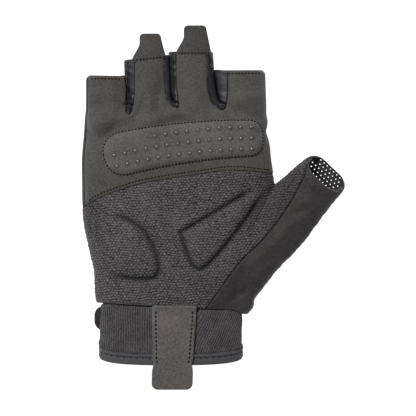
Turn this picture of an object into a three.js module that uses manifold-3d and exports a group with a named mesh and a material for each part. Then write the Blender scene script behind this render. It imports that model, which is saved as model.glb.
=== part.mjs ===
// A right-hand fingerless weightlifting glove, lying on its back with the palm up.
// It is sewn from flat pieces round a hollow hand: a suede front with a dotted grip pad,
// a knitted lower palm with two soft pads, a smooth thumb panel over a perforated back,
// stretch gussets between the fingers, a stretch back, and a bound elastic cuff.
// Millimetres. X runs from the little finger to the thumb, Y to the fingertips, Z up.
import * as THREE from "three";
import { mergeVertices } from "three/addons/utils/BufferGeometryUtils.js";
import Module from "manifold-3d";

// The hand
const PALM_LENGTH = 104; // wrist seam to the webs of the fingers
const PALM_WIDTH = 100; // across the knuckles
const PALM_DEPTH = 27; // back to palm, filled by a hand
const FINGER_LENGTH = 30; // web to hem of the middle finger, the longest
const THUMB_LENGTH = 86.5; // along the thumb, from inside the palm to the opening
const THUMB_WIDTH = 26.5;
const THUMB_DEPTH = 19.5;
const THUMB_TURN = 46.5; // degrees from the X axis

// The cuff
const CUFF_WIDTH = 74.5;
const CUFF_DEPTH = 21;
const CUFF_LENGTH = 25; // ribbed band, wrist seam to binding
const CUFF_SHIFT = -2.6; // its middle lies a little to the little finger's side
const BINDING_HEIGHT = 6;
const BINDING_PROUD = 0.6; // beyond the ribbed band, outside and inside
const CUFF_TUCK = 5; // how far the band reaches past the seam before it is cut to it
const WRIST_SEAM_DROP = 0.8;
const WRIST_SEAM_FALL = 0.055; // the seam drops towards the thumb, per millimetre across
const BINDING_LEAN = 0.42; // the cuff's end reaches further on the palm side

// Cloth
const SUEDE_WALL = 1.5;
const SUEDE_PROUD = 0.3; // the suede laps over the seams
const KNIT_WALL = 1.5;
const STRETCH_WALL = 1.1;
const MESH_WALL = 1.2;
const CUFF_WALL = 1.6;
const SEAM_GAP = 0.3;
const SEAM_HEIGHT = PALM_DEPTH * 0.39; // where front meets back along the sides
const GUSSET_SEAM_HEIGHT = PALM_DEPTH * 0.17; // where a gusset meets the back
const GUSSET_FOLD_HEIGHT = PALM_DEPTH * 0.6; // a gusset reaches under the suede below this
const SIDE_SEAM_INSET = 1.7; // the back rolls this far over the little finger's edge
const SETTLE = 1.6; // how far the resting side is pressed flat

// Grip pad
const GRIP_PAD_LENGTH = 84;
const GRIP_PAD_HEIGHT = 22; // at its little-finger end
const GRIP_PAD_NARROWS = 3; // by this much at its thumb end
const GRIP_PAD_CROWN = 1.5;
const GRIP_PAD_RISE = 10.7; // how far its thumb end climbs
const GRIP_PAD_CORNER = 8;
const GRIP_PAD_START = { across: -0.388, along: 0.756 }; // shares of the palm
const DOT_COLUMNS = 14;
const DOT_PITCH = 5.55;
const DOT_ROW_PITCH = 5.8;
const DOT_RADIUS = 0.85;
const DOT_HEIGHT = 0.5;
const DOT_FIRST = 6; // from the pad's little-finger end to the first column
const DOT_ROW_SHORTER_BY = 4; // the row nearest the fingers starts this many columns later

// Soft pads under the palm
const SOFT_PAD_CROWN = 1.1;
const SOFT_PAD_GROOVE = 0.5;
const SOFT_PAD_SINK = 0.4; // how far its edge lies below the knit round it

// Pull tabs
const TAB_THICKNESS = 2.2;
const TAB_CORNER = 2.2;
const TAB_DROOP = 1.5; // how far a tab's end hangs below the top of its finger
const STRAP_WIDTH = 21.5;
const STRAP_TAIL = 13.5; // beyond the binding
const STRAP_THICKNESS = 1.6;
const STRAP_CORNER = 3;
const STRAP_DROOP = 2;
const STRAP_START = 0.6; // where its sewn end lies, past the wrist seam
const STRAP_ACROSS = -1.6; // its middle, across the palm

// Closure strap on the back
const CLOSURE_WIDTH = 13;
const CLOSURE_LENGTH = 62;
const CLOSURE_THICKNESS = 1.8;
const CLOSURE_CORNER = 5;
const CLOSURE_PROUD = 3.4; // its round end stands beyond the cuff
const CLOSURE_DROP = 6.4; // wrist seam to its middle

// Perforations in the thumb's back
const HOLE_RADIUS = 0.6;
const HOLE_PITCH = 3;
const HOLE_FROM_EDGE = 2.2;
const HOLE_FIELD = 12; // length of the perforated field behind the opening

// How finely curves are cut
const PALM_SIDES = 32;
const FINGER_SIDES = 18;
const THUMB_SIDES = 20;
const CUFF_SIDES = 36;

// Cutters reach past the whole glove
const FAR = 3 * (PALM_LENGTH + FINGER_LENGTH + CUFF_LENGTH);
const HIGH = 2 * (PALM_DEPTH + CUFF_DEPTH);

// Edges of the palm and its depth, as shares of PALM_WIDTH and PALM_DEPTH
const PALM_SECTIONS = [
  { along: -0.06, little: -0.405, thumb: 0.348, depth: 0.84 },
  { along: 0.0, little: -0.416, thumb: 0.355, depth: 0.87 },
  { along: 0.05, little: -0.425, thumb: 0.385, depth: 0.93 },
  { along: 0.17, little: -0.433, thumb: 0.43, depth: 1.0 },
  { along: 0.3, little: -0.46, thumb: 0.467, depth: 1.0 },
  { along: 0.42, little: -0.486, thumb: 0.498, depth: 0.98 },
  { along: 0.54, little: -0.495, thumb: 0.515, depth: 0.97 },
  { along: 0.63, little: -0.496, thumb: 0.517, depth: 0.96 },
  { along: 0.75, little: -0.497, thumb: 0.5, depth: 0.93 },
  { along: 0.88, little: -0.486, thumb: 0.482, depth: 0.88 },
  { along: 0.97, little: -0.48, thumb: 0.475, depth: 0.82 },
  { along: 1.035, little: -0.473, thumb: 0.467, depth: 0.68 },
];
const PALM_SQUARENESS = 2.7;
const PALM_STATIONS = 14;

// Fingers: middle and width at the web, drift to the hem and slant of the hem as shares of
// PALM_WIDTH, length as a share of FINGER_LENGTH, widen and lean per length and per height
const FINGERS = [
  { middle: -0.367, width: 0.217, drift: -0.0055, widen: -0.05, length: 0.59, slant: -0.02, lean: 0.04 },
  { middle: -0.133, width: 0.238, drift: -0.014, widen: 0.034, length: 0.9, slant: 0.12, lean: 0.04 },
  { middle: 0.113, width: 0.242, drift: -0.023, widen: -0.116, length: 1, slant: 0, lean: 0.04 },
  { middle: 0.3575, width: 0.235, drift: -0.0155, widen: 0.083, length: 0.685, slant: 0.01, lean: 0.03 },
];
const FINGER_SQUARENESS = 2.6;
// Sections of a finger: width as a share of its own, depth as a share of PALM_DEPTH
const FINGER_SECTIONS = [
  { along: -0.9, width: 0.84, depth: 0.75 },
  { along: -0.45, width: 0.95, depth: 0.81 },
  { along: 0.0, width: 1.0, depth: 0.81 },
  { along: 0.4, width: 1.0, depth: 0.78 },
  { along: 1.0, width: 1.0, depth: 0.755 },
];

// The thumb: edges as shares of THUMB_WIDTH from its axis, heights as shares of THUMB_DEPTH
const THUMB_SECTIONS = [
  { along: -0.02, web: 0.3, outer: -0.77, low: 0.12, high: 1.05 },
  { along: 0.1, web: 0.42, outer: -0.76, low: 0.05, high: 1.12 },
  { along: 0.24, web: 0.5, outer: -0.655, low: 0.02, high: 1.17 },
  { along: 0.38, web: 0.54, outer: -0.62, low: 0.05, high: 1.18 },
  { along: 0.54, web: 0.57, outer: -0.63, low: 0.09, high: 1.16 },
  { along: 0.68, web: 0.59, outer: -0.585, low: 0.13, high: 1.14 },
  { along: 0.8, web: 0.55, outer: -0.535, low: 0.15, high: 1.13 },
  { along: 0.91, web: 0.52, outer: -0.505, low: 0.16, high: 1.13 },
  { along: 1.0, web: 0.47, outer: -0.48, low: 0.17, high: 1.12 },
];
const THUMB_SQUARENESS = 2.2;
const THUMB_LEAN = 0.46; // the opening is cut back on the palm side
const THUMB_STATIONS = 11;
// Where the thumb's axis starts, as shares of the palm
const THUMB_ROOT = { across: 0.207, along: 0.0815 };

// Hollows and swells of the palm: reach and height as shares of PALM_WIDTH and PALM_DEPTH
const RELIEF = [
  { across: 0.06, along: 0.47, reach: 0.2, height: -0.07 },
  { across: 0.26, along: 0.3, reach: 0.17, height: 0.05 },
  { across: -0.26, along: 0.3, reach: 0.17, height: 0.045 },
  { across: 0.47, along: 0.6, reach: 0.07, height: -0.06 },
];

// Seam lines, as shares of the palm, or of the thumb along and across its axis
const MID_SEAM = [
  { across: -0.6, along: 0.45 },
  { across: -0.477, along: 0.51 },
  { across: -0.392, along: 0.558 },
  { across: -0.17, along: 0.627 },
  { across: 0.127, along: 0.673 },
  { across: 0.313, along: 0.693 },
  { across: 0.56, along: 0.668 },
];
const THUMB_SEAM = [
  { along: 1.15, web: 0.5 },
  { along: 0.97, web: 0.43 },
  { along: 0.88, web: 0.29 },
  { along: 0.68, web: 0.1 },
  { along: 0.45, web: 0.01 },
  { along: 0.29, web: 0.03 },
  { along: 0.15, web: 0.0 },
  { along: -0.12, web: -0.12 },
  { along: -0.3, web: -0.2 },
];
// Where the thumb's perforated back meets the stretch back
const THUMB_BACK_SEAM = [
  { along: 1.0, web: 1.0 },
  { along: 0.76, web: 0.66 },
  { along: 0.69, web: 0.38 },
  { along: 0.52, web: 0.0 },
  { along: 0.32, web: -0.3 },
  { along: 0.3, web: -1.2 },
];

// Gussets between two fingers, as shares of the palm: edges that show, edges under the
// suede, and the foot of the notch in the suede
const GUSSETS = [
  { left: -0.262, right: -0.215, under: [-0.286, -0.215], foot: -0.247, bottom: 0.972, spread: 0.03 },
  { left: -0.06, right: 0.003, under: [-0.06, 0.02], foot: 0.005, bottom: 1.003, spread: 0.045 },
  { left: 0.164, right: 0.276, under: [0.164, 0.276], foot: 0.244, bottom: 0.994, spread: 0.045 },
];
const GUSSET_NARROWS = 0.17; // share of the palm above the foot where its edges run straight

// Soft pads, shares of the palm, round each outline
const HEEL_PAD = [
  { across: -0.34, along: 0.459 },
  { across: -0.27, along: 0.447 },
  { across: -0.17, along: 0.387 },
  { across: -0.112, along: 0.29 },
  { across: -0.088, along: 0.2 },
  { across: -0.105, along: 0.152 },
  { across: -0.16, along: 0.138 },
  { across: -0.265, along: 0.146 },
  { across: -0.345, along: 0.172 },
  { across: -0.385, along: 0.3 },
  { across: -0.395, along: 0.41 },
];
const THUMB_BASE_PAD = [
  { across: 0.026, along: 0.378 },
  { across: 0.19, along: 0.469 },
  { across: 0.374, along: 0.574 },
  { across: 0.438, along: 0.6 },
  { across: 0.452, along: 0.565 },
  { across: 0.389, along: 0.468 },
  { across: 0.315, along: 0.372 },
  { across: 0.241, along: 0.286 },
  { across: 0.155, along: 0.2 },
  { across: 0.11, along: 0.194 },
  { across: 0.07, along: 0.25 },
];

// Pull tabs at the hems: widths and shift as shares of the finger's width
const PULL_TABS = [
  { name: "ring_pull_tab", finger: 1, base: 0.84, top: 0.55, length: 13.5, shift: 0.09 },
  { name: "middle_pull_tab", finger: 2, base: 0.9, top: 0.62, length: 14.5, shift: 0.02 },
];
const TAB_LAP = 1.6; // how far a tab lies on the hem that it is sewn to

const wasm = await Module();
wasm.setup();

const power = (value, exponent) => Math.sign(value) * Math.abs(value) ** exponent;
const smooth = THREE.MathUtils.smoothstep;

// A smooth value of one column of a table, between its rows
function column(rows, key, along) {
  const last = rows.length - 1;
  const place = THREE.MathUtils.clamp(along, rows[0].along, rows[last].along);
  let i = 0;
  while (i < last - 1 && rows[i + 1].along < place) i++;
  const slope = (k) => {
    const [a, b] = [rows[Math.max(0, k - 1)], rows[Math.min(last, k + 1)]];
    return (b[key] - a[key]) / (b.along - a.along);
  };
  const span = rows[i + 1].along - rows[i].along;
  const t = (place - rows[i].along) / span;
  const from = rows[i][key] * (1 + 2 * t) * (1 - t) ** 2 + slope(i) * span * t * (1 - t) ** 2;
  const to = rows[i + 1][key] * t * t * (3 - 2 * t) - slope(i + 1) * span * t * t * (1 - t);
  return from + to;
}

// A closed geometry as a solid, and back
function solid(geometry) {
  const bare = new THREE.BufferGeometry();
  bare.setAttribute("position", geometry.getAttribute("position"));
  bare.setIndex(geometry.index);
  const merged = mergeVertices(bare, 1e-4);
  const vertProperties = new Float32Array(merged.getAttribute("position").array);
  const triVerts = new Uint32Array(merged.index.array);
  return new wasm.Manifold(new wasm.Mesh({ numProp: 3, vertProperties, triVerts }));
}

function geometryOf(made) {
  const mesh = made.getMesh();
  const places = new Float32Array(mesh.numVert * 3);
  for (let i = 0; i < mesh.numVert; i++) {
    places.set(mesh.vertProperties.subarray(i * mesh.numProp, i * mesh.numProp + 3), i * 3);
  }
  const geometry = new THREE.BufferGeometry();
  geometry.setAttribute("position", new THREE.BufferAttribute(places, 3));
  geometry.setIndex(new THREE.BufferAttribute(new Uint32Array(mesh.triVerts), 1));
  return geometry;
}

const joined = (solids) => solids.reduce((a, b) => a.add(b));

// A closed solid through layers of as many points each, closed by a fan at both ends.
// Layers run clockwise seen along the direction in which they follow each other, turned
// over by "flip" where they run the other way.
function loft(layers, flip = false) {
  const count = layers[0].length;
  const middleOf = (layer) =>
    layer.reduce((sum, p) => sum.add(p), new THREE.Vector3()).divideScalar(count);
  const ends = [middleOf(layers[0]), middleOf(layers[layers.length - 1])];
  const points = [...layers.flat(), ...ends];
  const [first, last] = [points.length - 2, points.length - 1];
  const lastLayer = (layers.length - 1) * count;
  const faces = [];
  for (let i = 0; i < count; i++) {
    const next = (i + 1) % count;
    for (let r = 0; r < layers.length - 1; r++) {
      const [low, high] = [r * count, (r + 1) * count];
      faces.push([low + i, low + next, high + next], [low + i, high + next, high + i]);
    }
    faces.push([first, next, i], [last, lastLayer + i, lastLayer + next]);
  }
  const geometry = new THREE.BufferGeometry().setFromPoints(points);
  geometry.setIndex(faces.flatMap(([a, b, c]) => (flip ? [a, c, b] : [a, b, c])));
  return solid(geometry);
}

// A flattened round section across a tube, pressed flat where it lies. The tube runs "ahead",
// "across" is level, and a lean cuts the palm side back along the tube.
function ring({ centre, ahead, across, low, high, middle, base, top, lean, squareness, sides }, outset) {
  const floor = Math.max(base, base - outset);
  const half = (high - low) / 2 + outset;
  const points = [];
  for (let i = 0; i < sides; i++) {
    const turn = -(i / sides) * 2 * Math.PI;
    const up = Math.sin(turn);
    const side = (high + low) / 2 + half * power(Math.cos(turn), 2 / squareness);
    const reach = up > 0 ? top - middle + outset : middle - base + SETTLE + outset;
    const place = centre.clone().addScaledVector(across, side);
    const rise = reach * power(up, 2 / squareness) + Math.max(0, up) * relief(place.x, place.y);
    const z = Math.max(floor, middle + rise);
    points.push(place.addScaledVector(ahead, -lean * (z - middle)).setZ(z));
  }
  return points;
}

// Height of a section's palm side at a distance across it, or zero beyond its edges
function sectionHeight({ low, high, middle, top, squareness }, side, bump) {
  const share = Math.abs(side - (high + low) / 2) / ((high - low) / 2);
  if (share >= 1) return 0;
  const round = 1 - share ** squareness;
  return middle + (top - middle) * round ** (1 / squareness) + Math.sqrt(round) * bump;
}

const palmPoint = ({ across, along }) => new THREE.Vector2(across * PALM_WIDTH, along * PALM_LENGTH);

// Height that the hollows and swells add to the palm side at a place
function relief(x, y) {
  return RELIEF.reduce((sum, swell) => {
    const centre = palmPoint(swell);
    const away = Math.hypot(x - centre.x, y - centre.y) / (swell.reach * PALM_WIDTH);
    return sum + swell.height * PALM_DEPTH * Math.exp(-away * away);
  }, 0);
}

// The tubes that the glove is made of. An outset grows one beyond its outer face, and a
// negative one makes its hollow, which runs out through the open end.

const UP = new THREE.Vector3(0, 0, 1);
const FORWARD = new THREE.Vector3(0, 1, 0);
const SIDEWAYS = new THREE.Vector3(1, 0, 0);
const CUFF_BASE = CLOSURE_THICKNESS + SEAM_GAP; // room for the closure strap below it
const OPEN_END = 6; // how far a hollow runs out

function palmSection(along) {
  const base = CUFF_BASE * (1 - smooth(along, 0, 0.1));
  const top = column(PALM_SECTIONS, "depth", along) * PALM_DEPTH;
  return {
    centre: new THREE.Vector3(0, along * PALM_LENGTH, 0),
    ahead: FORWARD,
    across: SIDEWAYS,
    low: column(PALM_SECTIONS, "little", along) * PALM_WIDTH,
    high: column(PALM_SECTIONS, "thumb", along) * PALM_WIDTH,
    middle: SEAM_HEIGHT,
    base,
    top,
    lean: 0,
    squareness: PALM_SQUARENESS,
    sides: PALM_SIDES,
  };
}

function palmTube(outset) {
  const from = PALM_SECTIONS[0].along - (outset < 0 ? 0.02 : 0);
  const webs = PALM_SECTIONS[PALM_SECTIONS.length - 1].along;
  const to = outset < 0 ? webs + outset / PALM_LENGTH : webs; // the end at the webs is a wall
  return loft(
    Array.from({ length: PALM_STATIONS }, (_, i) =>
      ring(palmSection(from + ((to - from) * i) / (PALM_STATIONS - 1)), outset),
    ),
  );
}

function fingerSection(finger, t) {
  const length = finger.length * FINGER_LENGTH;
  const reached = Math.max(0, t); // the part beyond the web
  const shape = column(FINGER_SECTIONS, "width", t) * (1 + finger.widen * reached);
  const width = finger.width * PALM_WIDTH * shape;
  const top = column(FINGER_SECTIONS, "depth", t) * PALM_DEPTH;
  const lean = finger.lean * reached;
  return {
    centre: new THREE.Vector3(
      (finger.middle + finger.drift * reached) * PALM_WIDTH,
      PALM_LENGTH + t * length + (lean * top) / 2,
      0,
    ),
    ahead: FORWARD,
    across: new THREE.Vector3(1, finger.slant * reached, 0).normalize(),
    low: -width / 2,
    high: width / 2,
    middle: top / 2,
    base: 0,
    top,
    lean,
    squareness: FINGER_SQUARENESS,
    sides: FINGER_SIDES,
  };
}

function fingerTube(finger, outset) {
  const layers = FINGER_SECTIONS.map((row) => ring(fingerSection(finger, row.along), outset));
  if (outset < 0) {
    const last = fingerSection(finger, 1);
    last.centre.addScaledVector(FORWARD, OPEN_END);
    layers.push(ring(last, outset));
  }
  return loft(layers);
}

const THUMB_AHEAD = SIDEWAYS.clone().applyAxisAngle(UP, THREE.MathUtils.degToRad(THUMB_TURN));
const THUMB_ACROSS = new THREE.Vector3(THUMB_AHEAD.y, -THUMB_AHEAD.x, 0); // to its outer side

// A place from the thumb's own shares: along its axis, and towards the web of the thumb
function thumbPoint({ along, web }) {
  const root = palmPoint(THUMB_ROOT);
  const [far, side] = [along * THUMB_LENGTH, -web * THUMB_WIDTH];
  return new THREE.Vector2(
    root.x + THUMB_AHEAD.x * far + THUMB_ACROSS.x * side,
    root.y + THUMB_AHEAD.y * far + THUMB_ACROSS.y * side,
  );
}

function thumbSection(along) {
  const low = column(THUMB_SECTIONS, "low", along) * THUMB_DEPTH;
  const top = column(THUMB_SECTIONS, "high", along) * THUMB_DEPTH;
  const axis = thumbPoint({ along, web: 0 });
  return {
    centre: new THREE.Vector3(axis.x, axis.y, 0),
    ahead: THUMB_AHEAD,
    across: THUMB_ACROSS,
    low: -column(THUMB_SECTIONS, "web", along) * THUMB_WIDTH,
    high: -column(THUMB_SECTIONS, "outer", along) * THUMB_WIDTH,
    middle: (low + top) / 2,
    base: low,
    top,
    lean: THUMB_LEAN * smooth(along, 0.5, 1),
    squareness: THUMB_SQUARENESS,
    sides: THUMB_SIDES,
  };
}

function thumbTube(outset) {
  const from = THUMB_SECTIONS[0].along - Math.min(0, outset) / THUMB_LENGTH;
  const layers = Array.from({ length: THUMB_STATIONS }, (_, i) =>
    ring(thumbSection(from + ((1 - from) * i) / (THUMB_STATIONS - 1)), outset),
  );
  if (outset < 0) {
    const last = thumbSection(1);
    last.centre.addScaledVector(THUMB_AHEAD, OPEN_END);
    layers.push(ring(last, outset));
  }
  return loft(layers);
}

const hand = (outset) =>
  joined([palmTube(outset), thumbTube(outset), ...FINGERS.map((finger) => fingerTube(finger, outset))]);

function cuffSection(y, lean) {
  return {
    centre: new THREE.Vector3(CUFF_SHIFT, y + (lean * CUFF_DEPTH) / 2, 0),
    ahead: FORWARD,
    across: SIDEWAYS,
    low: -CUFF_WIDTH / 2,
    high: CUFF_WIDTH / 2,
    middle: CUFF_BASE + CUFF_DEPTH / 2,
    base: CUFF_BASE,
    top: CUFF_BASE + CUFF_DEPTH,
    lean,
    squareness: PALM_SQUARENESS,
    sides: CUFF_SIDES,
  };
}

// A sleeve of the cuff: its far end leans, its near one is upright and cut to the wrist seam
function sleeve(from, to, outer, inner, leanTo = BINDING_LEAN) {
  const body = loft([
    ring(cuffSection(from, BINDING_LEAN), outer),
    ring(cuffSection(to, leanTo), outer),
  ]);
  const hollow = loft([
    ring(cuffSection(from - OPEN_END, BINDING_LEAN), inner),
    ring(cuffSection(to + OPEN_END, leanTo), inner),
  ]);
  return body.subtract(hollow);
}

// Height of the whole palm side at a place
function frontHeight(x, y) {
  const bump = relief(x, y);
  const heights = [sectionHeight(palmSection(y / PALM_LENGTH), x, bump)];
  const root = palmPoint(THUMB_ROOT);
  const from = new THREE.Vector3(x - root.x, y - root.y, 0);
  const thumbAlong = from.dot(THUMB_AHEAD) / THUMB_LENGTH;
  if (thumbAlong > THUMB_SECTIONS[0].along && thumbAlong < 1) {
    heights.push(sectionHeight(thumbSection(thumbAlong), from.dot(THUMB_ACROSS), bump));
  }
  for (const finger of FINGERS) heights.push(fingerHeight(finger, x, y));
  return Math.max(...heights);
}

function fingerHeight(finger, x, y) {
  const t = (y - PALM_LENGTH) / (finger.length * FINGER_LENGTH);
  if (t < FINGER_SECTIONS[0].along) return 0;
  const section = fingerSection(finger, Math.min(t, 1));
  return sectionHeight(section, x - section.centre.x, 0);
}

// Areas seen from above, and the cutters that stand on them

const curveThrough = (points, count) => new THREE.SplineCurve(points).getPoints(count);
const at = (x, y) => new THREE.Vector2(x, y);

// An outline moved outwards by a distance, all round
function grown(points, by) {
  const round = THREE.ShapeUtils.isClockWise(points) ? [...points].reverse() : points;
  return round.map((p, i) => {
    const before = round[(i + round.length - 1) % round.length];
    const after = round[(i + 1) % round.length];
    const a = p.clone().sub(before).normalize();
    const b = after.clone().sub(p).normalize();
    const out = at(a.y + b.y, -a.x - b.x).normalize();
    return p.clone().addScaledVector(out, by / Math.max(0.4, out.x * a.y - out.y * a.x));
  });
}

function standing(points, low, high) {
  const round = THREE.ShapeUtils.isClockWise(points) ? [...points].reverse() : points;
  const geometry = new THREE.ExtrudeGeometry(new THREE.Shape(round), {
    depth: high - low,
    bevelEnabled: false,
  });
  return solid(geometry.translate(0, 0, low));
}

const wristSeam = (x) => -WRIST_SEAM_DROP - WRIST_SEAM_FALL * x;
const midSeam = curveThrough(MID_SEAM.map(palmPoint), 20);
const thumbSeam = curveThrough(THUMB_SEAM.map(thumbPoint), 18);
const thumbBackSeam = curveThrough(THUMB_BACK_SEAM.map(thumbPoint), 12);

const handArea = [at(-FAR, wristSeam(-FAR)), at(FAR, wristSeam(FAR)), at(FAR, FAR), at(-FAR, FAR)];
const wristArea = [at(-FAR, -FAR), at(FAR, -FAR), at(FAR, wristSeam(FAR)), at(-FAR, wristSeam(-FAR))];

// The suede starts inside the little finger's edge, where the back rolls over
const sideSeam = [0.53, 0.64, 0.76, 0.88, 0.97].map((along) =>
  at(column(PALM_SECTIONS, "little", along) * PALM_WIDTH + SIDE_SEAM_INSET, along * PALM_LENGTH),
);
const littleHem = fingerSection(FINGERS[0], 1);
sideSeam.push(at(littleHem.centre.x + littleHem.low + SIDE_SEAM_INSET, littleHem.centre.y));

const suedeArea = [
  ...sideSeam,
  at(sideSeam[sideSeam.length - 1].x, FAR),
  at(midSeam[midSeam.length - 1].x, FAR),
  ...[...midSeam].reverse().filter((p) => p.x > sideSeam[0].x),
];
const knitArea = [
  at(-FAR, -FAR),
  at(-FAR, midSeam[0].y),
  ...midSeam,
  at(thumbSeam[0].x, FAR),
  ...thumbSeam,
  at(thumbSeam[thumbSeam.length - 1].x, -FAR),
];
const thumbArea = [
  at(thumbSeam[0].x, FAR),
  ...thumbSeam,
  at(thumbSeam[thumbSeam.length - 1].x, -FAR),
  at(FAR, -FAR),
  at(FAR, FAR),
];
const thumbBackArea = [at(thumbBackSeam[0].x, FAR), ...thumbBackSeam, at(FAR, -FAR), at(FAR, FAR)];

// A gusset's area: straight between the fingers, with a round foot at the web
function gussetArea({ foot, bottom, spread }, left, right) {
  const [x, y] = [(share) => share * PALM_WIDTH, (share) => share * PALM_LENGTH];
  const turnAt = y(bottom + GUSSET_NARROWS);
  const path = new THREE.Path();
  path.moveTo(x(left), FAR);
  path.lineTo(x(left), turnAt);
  path.bezierCurveTo(x(left), y(bottom + 0.06), x(foot - spread), y(bottom), x(foot), y(bottom));
  path.bezierCurveTo(x(foot + spread * 0.6), y(bottom), x(right), y(bottom + 0.06), x(right), turnAt);
  path.lineTo(x(right), FAR);
  return path.getPoints(6);
}

function gussetRegion(gusset, grow) {
  const low = GUSSET_SEAM_HEIGHT - grow;
  const shown = grown(gussetArea(gusset, gusset.left, gusset.right), grow);
  const under = grown(gussetArea(gusset, ...gusset.under), grow);
  return standing(shown, low, HIGH).add(standing(under, low, GUSSET_FOLD_HEIGHT + grow));
}

// The front's areas end at the side seams, and the thumb's back lies below them
const frontRegion = (area, grow) => standing(grown(area, grow), SEAM_HEIGHT - grow, HIGH);
const thumbBackRegion = (grow) => standing(grown(thumbBackArea, grow), -1, SEAM_HEIGHT + grow);

const HALF = SEAM_GAP / 2;
const aboveWrist = standing(grown(handArea, -HALF), -1, HIGH);
const belowWrist = standing(grown(wristArea, -HALF), -1, HIGH);
const allGussets = joined(GUSSETS.map((gusset) => gussetRegion(gusset, HALF)));
const shell = (wall, proud = 0) => hand(proud).subtract(hand(proud - wall)).intersect(aboveWrist);

// A crowned pad inside a smooth outline, in layers that close in on its middle
const softOutline = (rows) => curveThrough([...rows, rows[0]].map(palmPoint), 22).slice(0, -1);

function softPad(rows) {
  const outline = grown(softOutline(rows), -SOFT_PAD_GROOVE / 2);
  const middle = outline.reduce((sum, p) => sum.add(p), at(0, 0)).divideScalar(outline.length);
  const layer = (share, rise) =>
    outline.map((p) => {
      const { x, y } = middle.clone().lerp(p, share);
      return new THREE.Vector3(x, y, frontHeight(x, y) + rise);
    });
  const rows3 = [1, 0.92, 0.72, 0.4, 0.1];
  const crown = (share) => SOFT_PAD_CROWN * Math.sqrt(1 - share ** 4) - SOFT_PAD_SINK * share ** 4;
  return loft([
    ...[...rows3].reverse().map((share) => layer(share, -KNIT_WALL)),
    ...rows3.map((share) => layer(share, crown(share))),
  ]);
}

// The grip pad's middle line climbs towards the thumb
function gripPlace(along, up) {
  const start = palmPoint(GRIP_PAD_START);
  const share = along / GRIP_PAD_LENGTH;
  const slope = (2 * GRIP_PAD_RISE * (1 - share)) / GRIP_PAD_LENGTH;
  const climb = GRIP_PAD_RISE * (1 - (1 - share) ** 2);
  return at(start.x + along, start.y + climb).addScaledVector(at(-slope, 1).normalize(), up);
}

function gripHalf(along) {
  const half = (GRIP_PAD_HEIGHT - (GRIP_PAD_NARROWS * along) / GRIP_PAD_LENGTH) / 2;
  const corner = (distance, radius) =>
    distance >= radius ? 0 : radius - Math.sqrt(radius ** 2 - (radius - distance) ** 2);
  const start = Math.min(half, GRIP_PAD_HEIGHT / 2 - GRIP_PAD_NARROWS / 4);
  return half - Math.max(corner(along, start), corner(GRIP_PAD_LENGTH - along, GRIP_PAD_CORNER));
}

const suedeHeight = ({ x, y }) => frontHeight(x, y) + SUEDE_PROUD;
const gripCrown = (share) => GRIP_PAD_CROWN * (1 - 0.75 * Math.abs(share) ** 6);

function gripPad() {
  const shares = [0.002, 0.02, 0.06, 0.12, 0.24, 0.4, 0.56, 0.72, 0.86, 0.94, 0.98, 1];
  const layers = shares.map((share) => {
    const along = share * GRIP_PAD_LENGTH;
    const across = [-1, -0.85, -0.35, 0.35, 0.85, 1];
    const edge = 1 - Math.min(1, Math.min(along, GRIP_PAD_LENGTH - along) / 3) ** 0.5;
    const top = across.map((v) => {
      const place = gripPlace(along, v * gripHalf(along));
      const rise = SEAM_GAP + gripCrown(Math.max(Math.abs(v), 0.95 * edge));
      return new THREE.Vector3(place.x, place.y, suedeHeight(place) + rise);
    });
    const bottom = across.map((v) => {
      const place = gripPlace(along, v * gripHalf(along));
      return new THREE.Vector3(place.x, place.y, suedeHeight(place) + SEAM_GAP);
    });
    return [...top, ...bottom.reverse()];
  });
  return joined([loft(layers, true), ...gripDots()]);
}

function gripDots() {
  const dots = [];
  for (const row of [-1, 0, 1]) {
    const first = row === 1 ? DOT_ROW_SHORTER_BY : 0;
    for (let i = first; i < DOT_COLUMNS; i++) {
      const place = gripPlace(DOT_FIRST + i * DOT_PITCH, row * DOT_ROW_PITCH);
      const share = (row * DOT_ROW_PITCH) / (GRIP_PAD_HEIGHT / 2);
      const foot = suedeHeight(place) + SEAM_GAP + gripCrown(share) - GRIP_PAD_CROWN / 2;
      const height = GRIP_PAD_CROWN / 2 + DOT_HEIGHT;
      const dot = new THREE.CylinderGeometry(DOT_RADIUS * 0.7, DOT_RADIUS, height, 5);
      dot.rotateX(Math.PI / 2).translate(place.x, place.y, foot + height / 2);
      dots.push(solid(dot));
    }
  }
  return dots;
}

// A flat piece of cloth: rows across it, each a list of places with the height it lies at
function flap(rows, thickness, forward) {
  return loft(
    rows.map((row) => [
      ...row,
      ...[...row].reverse().map((p) => p.clone().setZ(p.z + thickness)),
    ]),
    forward,
  );
}

// A finger's pull tab, sewn on the hem and tapering to a round end
function pullTab({ finger, base, top, length, shift }) {
  const section = fingerSection(FINGERS[finger], 1);
  const width = section.high - section.low;
  const hem = section.centre.y - (section.lean * section.top) / 2;
  const slant = FINGERS[finger].slant;
  const rows = [-TAB_LAP, 0, 0.18, 0.38, 0.62, 0.82].map((share) => (share < 0 ? share : share * length));
  const round = [0.7, 0.3, 0].map((share) => length - share * TAB_CORNER);
  return flap(
    [...rows.filter((y) => y < round[0]), ...round].map((y) => {
      const away = Math.max(0, y);
      const narrowing = smooth(away / length, 0, 0.75);
      const half = (width / 2) * (base + (top - base) * narrowing);
      const left = TAB_CORNER - (length - y);
      const cut = left > 0 ? TAB_CORNER - Math.sqrt(TAB_CORNER ** 2 - left ** 2) : 0;
      const flat = smooth(away, 0, length * 0.8);
      return [-1, -0.6, 0, 0.6, 1].map((v) => {
        const side = v * (half - cut);
        const x = section.centre.x + shift * width * narrowing + side;
        const over = fingerHeight(FINGERS[finger], section.centre.x + side, hem + Math.min(0, y));
        const lies = over * (1 - flat) + (section.top - TAB_DROOP) * flat;
        const place = hem + y + slant * side;
        return new THREE.Vector3(x, place, lies + SUEDE_PROUD + SEAM_GAP);
      });
    }),
    TAB_THICKNESS,
    true,
  );
}

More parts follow.
